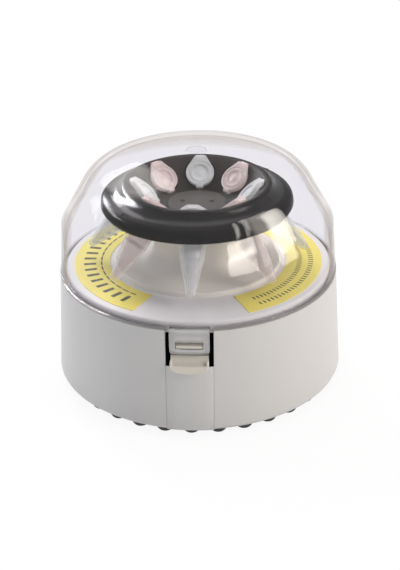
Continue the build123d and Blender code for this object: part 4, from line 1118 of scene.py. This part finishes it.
@dataclass
class Lid:
    """The clear dome with its bead, nub, latch tab and hinge lug."""

    bench: Workbench
    rim: float = 62.2
    bottom: float = 51.055
    bead: float = 1.3
    step: float = 0.3
    wall: float = 2.2
    crease: float = 60.3
    crease_height: float = 74.8
    inner_drop: float = 6.0
    outer_drop: float = 1.0
    lean: float = 29.7
    corner: float = 18.7
    corner_steps: int = 16
    crown: float = 144.0
    crown_steps: int = 12
    top: float = 105.703
    nub: float = 4.5
    nub_rise: float = 0.8
    nub_dish: float = 0.3
    tab_half: float = 8.45
    tab_bottom: float = 39.655
    tab_corner: float = 1.5
    tab_steps: int = 6
    tab_lane: float = 3.0
    tab_edge: float = 0.25
    tab_overlap: float = 0.6
    window_half: float = 5.8
    window_low: float = 42.2
    window_high: float = 45.5
    hinge: tuple[float, float] = (68.999, 47.005)
    barrel: float = 3.6
    pin: float = 1.5
    pin_play: float = 0.05
    lug_half: float = 9.0
    lug_top: float = 58.5
    lug_root: float = 1.4
    lug_edge: float = 0.3
    segments: int = 192
    clear: Finish = ClearPlastic("lid_clear")
    rim_clear: Finish = ClearPlastic(
        "lid_bead_clear",
        tint_colour=(0.99, 0.985, 0.99),
        rim_colour=(0.5, 0.47, 0.46),
        rim_cover=0.1,
        shine=0.03,
        seam=(51.1, 52.35),
    )
    frosted: Finish = ClearPlastic(
        "lid_tab_clear",
        gloss_colour=(0.86, 0.845, 0.83),
        rim_colour=(0.2, 0.19, 0.185),
        rim_from=0.2,
        rim_cover=0.5,
        frost=0.3,
    )

    def side(self, inset: float) -> list[Ring]:
        """The cone, the corner and the crown, from the crease up.

        Args:
            inset: How far in from the outer surface.

        Returns:
            The rings, ending at the axis.
        """
        lean = math.radians(self.lean)
        along = Vector((-math.sin(lean), math.cos(lean)))
        inward = Vector((-math.cos(lean), -math.sin(lean)))
        middle = Vector((0.0, self.top - self.crown))
        start = Vector((self.crease, self.crease_height)) + inward * self.corner
        offset = start - middle
        drop = offset.dot(along)
        reach = self.crown - self.corner
        corner = start + along * (math.sqrt(drop**2 - offset.dot(offset) + reach**2) - drop)
        outward = (corner - middle).normalized()
        first = math.atan2(-inward.y, -inward.x)
        last = math.atan2(outward.y, outward.x)
        low = (self.crease - inset, self.crease_height - inset * math.tan(lean / 2))
        rings: list[Ring] = [low]
        for step in range(self.corner_steps + 1):
            angle = first + (last - first) * step / self.corner_steps
            spot = Vector((math.cos(angle), math.sin(angle))) * (self.corner - inset)
            rings.append(tuple(corner + spot))
        for step in range(1, self.crown_steps):
            angle = last + (math.pi / 2 - last) * step / self.crown_steps
            spot = Vector((math.cos(angle), math.sin(angle))) * (self.crown - inset)
            rings.append(tuple(middle + spot))
        rings.append((0.0, self.top - inset))
        return rings

    def build_dome(self) -> None:
        """Builds the dome as one wall with an outer and an inner side, its nub and its bead."""
        shape = bmesh.new()
        wall = self.rim - self.step
        inner = self.rim - self.wall
        bead_top = self.bottom + self.bead
        edge = rounded(
            [
                (inner, self.crease_height - self.inner_drop, 0.0),
                (inner, bead_top, 0.1),
                (wall, bead_top, 0.1),
                (self.crease + 0.1, self.crease_height - self.outer_drop, 0.0),
            ]
        )
        rings = self.side(self.wall)[::-1] + edge + self.side(0.0)
        spun(shape, rings, self.segments, Matrix())
        high = self.top + self.nub_rise
        nub = rounded(
            [
                (self.nub + 0.5, self.top - 0.12, 0.0),
                (self.nub, self.top - 0.05, 0.3),
                (self.nub, high, 0.4),
                (self.nub - 1.1, high, 0.2),
                (self.nub - 1.4, high - self.nub_dish, 0.2),
                (0.0, high - self.nub_dish, 0.0),
            ]
        )
        spun(shape, nub, 64, Matrix())
        self.bench.fit(
            "lid_dome", shape, Body.LID, "clear", self.clear, ("lid",), sharp=24.0
        )
        bead = rounded(
            [
                (inner, bead_top, 0.0),
                (inner, self.bottom, 0.25),
                (self.rim, self.bottom, 0.4),
                (self.rim, bead_top, 0.4),
                (inner, bead_top, 0.0),
            ]
        )
        ring = bmesh.new()
        spun(ring, bead, self.segments, Matrix())
        bmesh.ops.remove_doubles(ring, verts=ring.verts, dist=WELD_GAP)
        self.bench.fit("lid_bead", ring, Body.LID, "clear", self.rim_clear, sharp=50.0)

    def build_tab(self) -> None:
        """Builds the tab that hangs from the front, with rounded corners and the hook's window."""
        shape = bmesh.new()
        flat = self.tab_half - self.tab_corner
        turns = [math.pi / 2 * step / self.tab_steps for step in range(self.tab_steps + 1)]
        right = [0.0, self.tab_lane, self.window_half]
        right += [flat + self.tab_corner * math.sin(turn) for turn in turns]
        columns = [-x for x in right[:0:-1]] + right
        rows = [0.0, self.window_low, self.window_high, self.bottom + self.tab_overlap]
        grid: dict[tuple[int, int], bmesh.types.BMVert] = {}
        for column, x in enumerate(columns):
            over = max(0.0, abs(x) - flat)
            lift = self.tab_corner - math.sqrt(max(0.0, self.tab_corner**2 - over**2))
            for row, z in enumerate(rows):
                height = z or self.tab_bottom + lift
                y = -math.sqrt(self.rim**2 - x**2)
                grid[column, row] = shape.verts.new((x, y, height))
        for column, x in enumerate(columns[:-1]):
            for row in range(len(rows) - 1):
                middle = (x + columns[column + 1]) / 2
                if row == 1 and abs(middle) < self.window_half:
                    continue
                corners = [(0, 0), (1, 0), (1, 1), (0, 1)]
                shape.faces.new([grid[column + a, row + b] for a, b in corners])
        back = bmesh.ops.extrude_face_region(shape, geom=shape.faces[:])["geom"]
        inner = self.rim - self.wall
        for vert in (part for part in back if isinstance(part, bmesh.types.BMVert)):
            vert.co.y = -math.sqrt(inner**2 - vert.co.x**2)
        bmesh.ops.recalc_face_normals(shape, faces=shape.faces)
        sharp = [e for e in shape.edges if e.is_manifold and e.calc_face_angle(0.0) > 1.0]
        bmesh.ops.bevel(
            shape, geom=sharp, offset=self.tab_edge, segments=2, affect="EDGES", profile=0.5
        )
        self.bench.fit("lid_latch_tab", shape, Body.LID, "clear", self.frosted)

    def build_lug(self) -> None:
        """Builds the lug behind the dome that turns on the hinge pin."""
        shape = bmesh.new()
        y, z = self.hinge
        barrel = arc((y, z), self.barrel, 45.0, -150.0, 24)
        back = self.rim - self.lug_root
        outline = [(back, self.bottom), (back, self.lug_top), *barrel]
        outline += [(y - self.barrel, z), (self.rim + 0.6, self.bottom)]
        bore = arc((y, z), self.pin + self.pin_play, 0.0, 345.0, 24)
        lying = Matrix(((0, 0, 1), (1, 0, 0), (0, 1, 0))).to_4x4()
        cut_plate(shape, [outline, bore], self.lug_half, self.lug_edge, lying)
        self.bench.fit("lid_hinge_lug", shape, Body.LID, "clear", self.clear)

    def build(self) -> None:
        """Builds the whole lid."""
        self.build_dome()
        self.build_tab()
        self.build_lug()


@dataclass
class RotorUnit:
    """The rotor with the numbers of its places."""

    bench: Workbench
    places: int = 8
    number_size: float = 3.4
    number_rise: float = 0.22
    number_height: float = 86.6
    number_lag: float = 4.0
    clear_of_rotor: float = 60.0
    finish: Finish = RotorPlastic()

    def dress(self) -> None:
        """Puts the finish on the rotor's node."""
        self.bench.shop.dress_nodes(("rotor",), self.finish)

    def build(self) -> None:
        """Raises a number on the shoulder by each place."""
        shape = bmesh.new()
        for index in range(self.places):
            self._raise_number(shape, str(index + 1), index * 360 / self.places)
        self.bench.fit("rotor_numbers", shape, Body.ROTOR, "rotor_black", self.finish)

    def _raise_number(self, shape: bmesh.types.BMesh, text: str, turn: float) -> None:
        """Adds one digit, laid on the rotor's own surface.

        Args:
            shape: What the digit's faces are added to.
            text: The digit.
            turn: Its place round the axis in degrees, from the front.
        """
        curve = bpy.data.curves.new("digit", "FONT")
        curve.body = text
        curve.size = self.number_size
        curve.extrude = self.number_rise / 2
        curve.align_x, curve.align_y = "CENTER", "CENTER"
        curve.resolution_u = 4
        outward = toward(turn - self.number_lag, 0.0)
        start = (outward * self.clear_of_rotor + Vector((0.0, 0.0, self.number_height))) * MM
        _, spot, normal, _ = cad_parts["rotor"].ray_cast(start, -outward)
        across = Vector((0.0, 0.0, 1.0)).cross(outward).normalized()
        upward = normal.cross(across).normalized()
        turned = Matrix((across, upward, normal)).transposed().to_4x4()
        add_curve(shape, curve, Matrix.Translation(spot / MM) @ turned)


@dataclass
class Vial:
    """A 1.5 ml tube with its hinged cap, in the rotor's bowl. Heights run down to its tip."""

    bench: Workbench
    places: int = 8
    seat_reach: float = 24.036
    seat_height: float = 84.47
    radius: float = 5.4
    wall: float = 0.95
    length: float = 35.0
    straight: float = 17.0
    tip: float = 2.0
    marks: tuple[float, ...] = (6.5, 11.5, 16.5)
    mark_rise: float = 0.1
    collar: float = 6.2
    collar_depth: float = 1.2
    collar_lobe: float = 6.9
    cap: float = 6.4
    cap_depth: float = 2.1
    cap_steps: Outline = (
        (0.0, 0.3),
        (1.0, 0.32),
        (1.5, 0.55),
        (3.0, 0.6),
        (3.4, 0.5),
        (3.6, 0.06),
        (3.8, 0.0),
        (4.7, 0.0),
        (4.85, 0.22),
        (5.25, 0.22),
        (5.4, 0.0),
    )
    hinge_reach: float = 8.2
    hinge_width: float = 5.0
    hinge_thickness: float = 0.5
    hinge_bend: Outline = (
        (7.7, -0.7),
        (8.35, -0.7),
        (8.7, -0.45),
        (8.75, -0.1),
        (8.45, 0.2),
        (7.6, 0.5),
        (6.6, 0.6),
    )
    shoulder: float = 50.0
    tab_reach: float = 7.4
    tab_width: float = 3.2
    plug: float = 4.4
    plug_depth: float = 3.0
    segments: int = 96
    clear: Finish = TubePlastic("tube_clear_plastic")
    pink: Finish = TubePlastic("tube_pink_plastic", (0.98, 0.9, 0.88), (0.99, 0.965, 0.955), 0.13)
    clear_cap: Finish = TubePlastic("cap_clear_plastic", cover=0.42, glow=0.05)
    pink_cap: Finish = TubePlastic(
        "cap_pink_plastic", (0.97, 0.84, 0.81), (0.98, 0.94, 0.93), 0.42, glow=0.09
    )

    def slot(self, index: int) -> str:
        """The record's material slot of a tube; clear and pink take turns."""
        return "tube_pink" if index % 2 else "tube_clear"

    def place(self, index: int) -> Matrix:
        """The seat's matrix: x up the bowl's slope, z along the tube to its tip."""
        slope = math.sqrt(0.5)
        up_slope = Vector((0.0, -slope, slope))
        down = Vector((0.0, -slope, -slope))
        turned = Matrix((up_slope, down.cross(up_slope), down)).transposed().to_4x4()
        seat = Matrix.Translation((0.0, -self.seat_reach, self.seat_height)) @ turned
        return Matrix.Rotation(math.tau * index / self.places, 4, "Z") @ seat

    def lobe(self, turn: float, reach: float, width: float, circle: float) -> float:
        """The radius of a circle with a square lobe.

        Args:
            turn: The angle from the lobe's middle.
            reach: How far out the lobe ends.
            width: The lobe's width.
            circle: The circle's radius.

        Returns:
            The radius at that angle.
        """
        half = width / 2
        if turn < math.atan2(half, reach):
            return reach / math.cos(turn)
        if turn < math.asin(half / circle):
            return max(circle, half / math.sin(turn))
        return circle

    def cap_edge(self, inset: float) -> Edge:
        """The cap's teardrop outline by angle, with its hinge shoulders and thumb tab."""
        lean = math.radians(self.shoulder)
        corner = Vector((self.hinge_reach, self.hinge_width / 2))
        flank = Vector((math.cos(lean), math.sin(lean))) * self.cap - corner
        normal = Vector((flank.y, -flank.x))

        def reach(angle: float) -> float:
            """The outline's radius at an angle from the hinge."""
            turn = abs((angle + math.pi) % math.tau - math.pi)
            if turn < math.atan2(corner.y, corner.x):
                return corner.x / math.cos(turn) - inset
            if turn < lean:
                ray = Vector((math.cos(turn), math.sin(turn)))
                return max(self.cap, corner.dot(normal) / ray.dot(normal)) - inset
            return self.lobe(math.pi - turn, self.tab_reach, self.tab_width, self.cap) - inset

        return reach

    def collar_edge(self, inset: float) -> Edge:
        """The collar's outline by angle, with the lobe under the hinge."""

        def reach(angle: float) -> float:
            """The outline's radius at an angle from the hinge."""
            turn = abs((angle + math.pi) % math.tau - math.pi)
            return self.lobe(turn, self.collar_lobe, self.hinge_width, self.collar) - inset

        return reach

    def build_body(self, index: int) -> None:
        """Builds the vial: a thin tapered wall inside and out, its collar and its graduations."""
        shape = bmesh.new()
        inner = self.radius - self.wall
        tip_start = self.length - self.tip
        bore = self.tip - self.wall
        mouth = -self.collar_depth
        inside = rounded(
            [
                (0.0, tip_start + 0.5, 0.0),
                (bore, tip_start + 0.4, 0.5),
                (bore, tip_start - 0.6, 0.3),
                (inner, self.straight, 2.0),
                (inner, mouth, 0.0),
            ]
        )
        outside = rounded(
            [
                (self.radius, 0.0, 0.0),
                (self.radius, self.straight, 2.0),
                (self.tip, tip_start, 1.0),
                (self.tip * 0.8, self.length - 0.1, 1.0),
                (0.0, self.length, 0.0),
            ]
        )
        lip: list[Ring] = [
            (inner + 0.25, mouth),
            (self.collar_edge(0.2), mouth),
            (self.collar_edge(0.0), mouth + 0.2),
            (self.collar_edge(0.0), -0.15),
            (self.collar_edge(0.15), 0.0),
        ]
        place = self.place(index)
        spun(shape, [*inside, *lip, *outside], self.segments, place)
        low, high = self.radius - 0.05, self.radius + self.mark_rise
        for mark in self.marks:
            ridge = [(low, mark - 0.3), (high, mark - 0.15), (high, mark + 0.15), (low, mark + 0.3)]
            spun(shape, ridge, self.segments, place)
        finish = self.pink if index % 2 else self.clear
        node = f"tube_{index + 1}"
        self.bench.fit(f"{node}_vial", shape, Body.ROTOR, self.slot(index), finish, (node,))

    def build_cap(self, index: int) -> None:
        """Builds the closed cap: stepped rings, teardrop rim, plug and the bent hinge strap."""
        shape = bmesh.new()
        base = -self.collar_depth
        top = base - self.cap_depth
        plug, end = self.plug, base + self.plug_depth
        rings: list[Ring] = [(radius, top + depth) for radius, depth in self.cap_steps]
        rings += [
            (self.cap_edge(0.4), top),
            (self.cap_edge(0.1), top + 0.14),
            (self.cap_edge(0.0), top + 0.45),
            (self.cap_edge(0.0), base - 0.35),
            (self.cap_edge(0.15), base - 0.05),
            (plug + 0.15, base - 0.02),
            (plug, base + 0.2),
            (plug, end - 0.2),
            (plug - 0.3, end),
            (plug - 0.9, end),
            (plug - 0.95, base + 0.4),
            (plug - 1.2, base - 0.9),
            (0.0, base - 1.0),
        ]
        place = self.place(index)
        spun(shape, rings, self.segments, place)
        bend = [(reach, base + drop) for reach, drop in self.hinge_bend]
        strap(shape, bend, self.hinge_width - 1.2, self.hinge_thickness, place)
        finish = self.pink_cap if index % 2 else self.clear_cap
        self.bench.fit(f"tube_{index + 1}_cap", shape, Body.ROTOR, self.slot(index), finish)

    def build(self) -> None:
        """Builds all eight vials with their caps."""
        for index in range(self.places):
            self.build_body(index)
            self.build_cap(index)


# ---------- studio ----------


@dataclass(frozen=True)
class Softbox:
    """A rectangular studio lamp, aimed at the object."""

    name: str
    azimuth: float
    elevation: float
    size: tuple[float, float]
    brightness: float
    colour: Colour = WHITE
    mirrored_by: tuple[str, ...] = ()
    distance: float = 1.2
    aim_height: float = 0.06

    def hang(self) -> None:
        """Adds the lamp to the scene; one with mirrors lights only their glossy reflections."""
        lamp = bpy.data.lights.new(self.name, "AREA")
        lamp.shape = "RECTANGLE"
        lamp.size, lamp.size_y = self.size
        lamp.energy = self.brightness * math.pi * self.size[0] * self.size[1]
        lamp.color = self.colour
        holder = bpy.data.objects.new(self.name, lamp)
        outward = toward(self.azimuth, self.elevation)
        holder.location = Vector((0.0, 0.0, self.aim_height)) + outward * self.distance
        holder.rotation_euler = (-outward).to_track_quat("-Z", "Y").to_euler()
        bpy.context.scene.collection.objects.link(holder)
        if self.mirrored_by:
            mirrors = bpy.data.collections.new(self.name + "_mirrors")
            for name in self.mirrored_by:
                mirrors.objects.link(bpy.data.objects[name])
            holder.light_linking.receiver_collection = mirrors
            holder.visible_diffuse = False


@dataclass
class Studio:
    """A white paper floor, softboxes, an even white world and the camera."""

    world_light: float = 0.37
    floor_size: float = 6.0
    floor_white: float = 0.92
    floor_glow: float = 0.92
    aim_height: float = 39.95 * MM
    distance: float = 583.0 * MM
    elevation: float = 27.67
    azimuth: float = 4.0
    roll: float = 1.04
    lens: float = 80.46
    sensor: float = 36.0
    shift: float = 1.4 / 570
    world_tone: Colour = (0.93, 0.955, 1.0)
    lamps: tuple[Softbox, ...] = (
        Softbox("key_right", 72.0, 30.0, (0.5, 0.6), 8.6, (1.0, 0.93, 0.84)),
        Softbox("window_wide", 84.0, 22.0, (0.4, 0.68), 26.0, WARM, ("lid_dome",)),
        Softbox("window_bar", 43.0, 35.0, (0.06, 0.34), 14.0, WARM, ("lid_dome",)),
        Softbox("window_pane", 54.0, 36.0, (0.08, 0.36), 16.0, WARM, ("lid_dome",)),
        Softbox("window_low", 42.0, 20.0, (0.5, 0.2), 26.0, WARM, ("lid_dome",)),
        Softbox("rim_left", -112.0, 20.0, (0.3, 0.5), 9.0, (0.84, 0.92, 1.0)),
        Softbox("back_left", -150.0, 38.0, (0.5, 0.5), 9.0, (1.0, 0.98, 0.95)),
        Softbox("window_left", -125.0, 22.0, (1.1, 0.4), 75.0, WHITE, ("rotor",)),
        Softbox("window_rim", -108.0, 22.0, (1.6, 0.4), 120.0, WHITE, ("lid_bead",)),
        Softbox("top", 180.0, 72.0, (0.8, 0.8), 2.6, (1.0, 0.99, 0.97)),
    )

    def build_world(self) -> None:
        """Lights the scene evenly and shows white behind it."""
        world = bpy.data.worlds.new("studio")
        bpy.context.scene.world = world
        world.use_nodes = True
        sky = Nodes(world.node_tree)
        light, white = (
            sky.node("ShaderNodeBackground", {}, {"Color": colour, "Strength": strength})
            for colour, strength in ((self.world_tone, self.world_light), (WHITE, 1.0))
        )
        mixed = sky.layer(sky.background_rays(), light.outputs[0], white.outputs[0])
        sky.node("ShaderNodeOutputWorld", {}, {"Surface": mixed})

    def build_floor(self) -> None:
        """Lays the paper floor, which keeps the object's shadow."""
        grid = bmesh.new()
        bmesh.ops.create_grid(grid, x_segments=8, y_segments=8, size=self.floor_size / 2)
        mesh = bpy.data.meshes.new("floor")
        grid.to_mesh(mesh)
        grid.free()
        floor = bpy.data.objects.new("floor", mesh)
        bpy.context.scene.collection.objects.link(floor)
        s = Surface("floor_paper")
        fibre = s.noise(1.5, 4.0, 0.7)
        white = (self.floor_white,) * 3
        paper = s.principled(
            {
                "Base Color": s.mix(fibre, tint(white, 0.995), tint(white, 1.005)),
                "Roughness": 0.9,
                "Specular IOR Level": 0.1,
            }
        )
        glow = s.node("ShaderNodeEmission", {}, {"Color": WHITE, "Strength": 1.0})
        share = s.background_rays() * self.floor_glow
        mesh.materials.append(s.finish(s.layer(share, paper, glow.outputs[0])))

    def build_camera(self) -> None:
        """Sets the camera where the photograph was taken from."""
        back = toward(self.azimuth, self.elevation)
        right = toward(self.azimuth + 90.0, 0.0)
        up = back.cross(right)
        lean = math.radians(self.roll)
        side = right * math.cos(lean) - up * math.sin(lean)
        top = right * math.sin(lean) + up * math.cos(lean)
        data = bpy.data.cameras.new("camera")
        data.lens = self.lens
        data.sensor_width = self.sensor
        data.shift_x = self.shift
        data.clip_start, data.clip_end = 0.05, 20.0
        camera = bpy.data.objects.new("camera", data)
        turned = Matrix((side, top, back)).transposed().to_4x4()
        place = Vector((0.0, 0.0, self.aim_height)) + back * self.distance
        camera.matrix_world = Matrix.Translation(place) @ turned
        bpy.context.scene.collection.objects.link(camera)
        bpy.context.scene.camera = camera

    def build(self) -> None:
        """Builds the whole studio."""
        self.build_world()
        self.build_floor()
        for lamp in self.lamps:
            lamp.hang()
        self.build_camera()
        bpy.context.scene.view_settings.view_transform = "Standard"


def main() -> None:
    """Builds and dresses the sub-assemblies, then the studio."""
    logging.basicConfig(level=logging.INFO, format="%(message)s")
    shop = PaintShop()
    bench = Workbench(shop)
    base = BaseUnit(bench)
    base.build_feet()
    base.build_strip()
    base.dress()
    base.dress_works()
    log.info("base dressed")
    latch = Latch(bench)
    latch.dress()
    latch.build_rim()
    log.info("latch dressed")
    rotor = RotorUnit(bench)
    rotor.dress()
    rotor.build()
    Vial(bench).build()
    log.info("rotor dressed")
    Lid(bench).build()
    log.info("lid built")
    Studio().build()
    log.info("studio built")


if __name__ == "__main__":
    main()
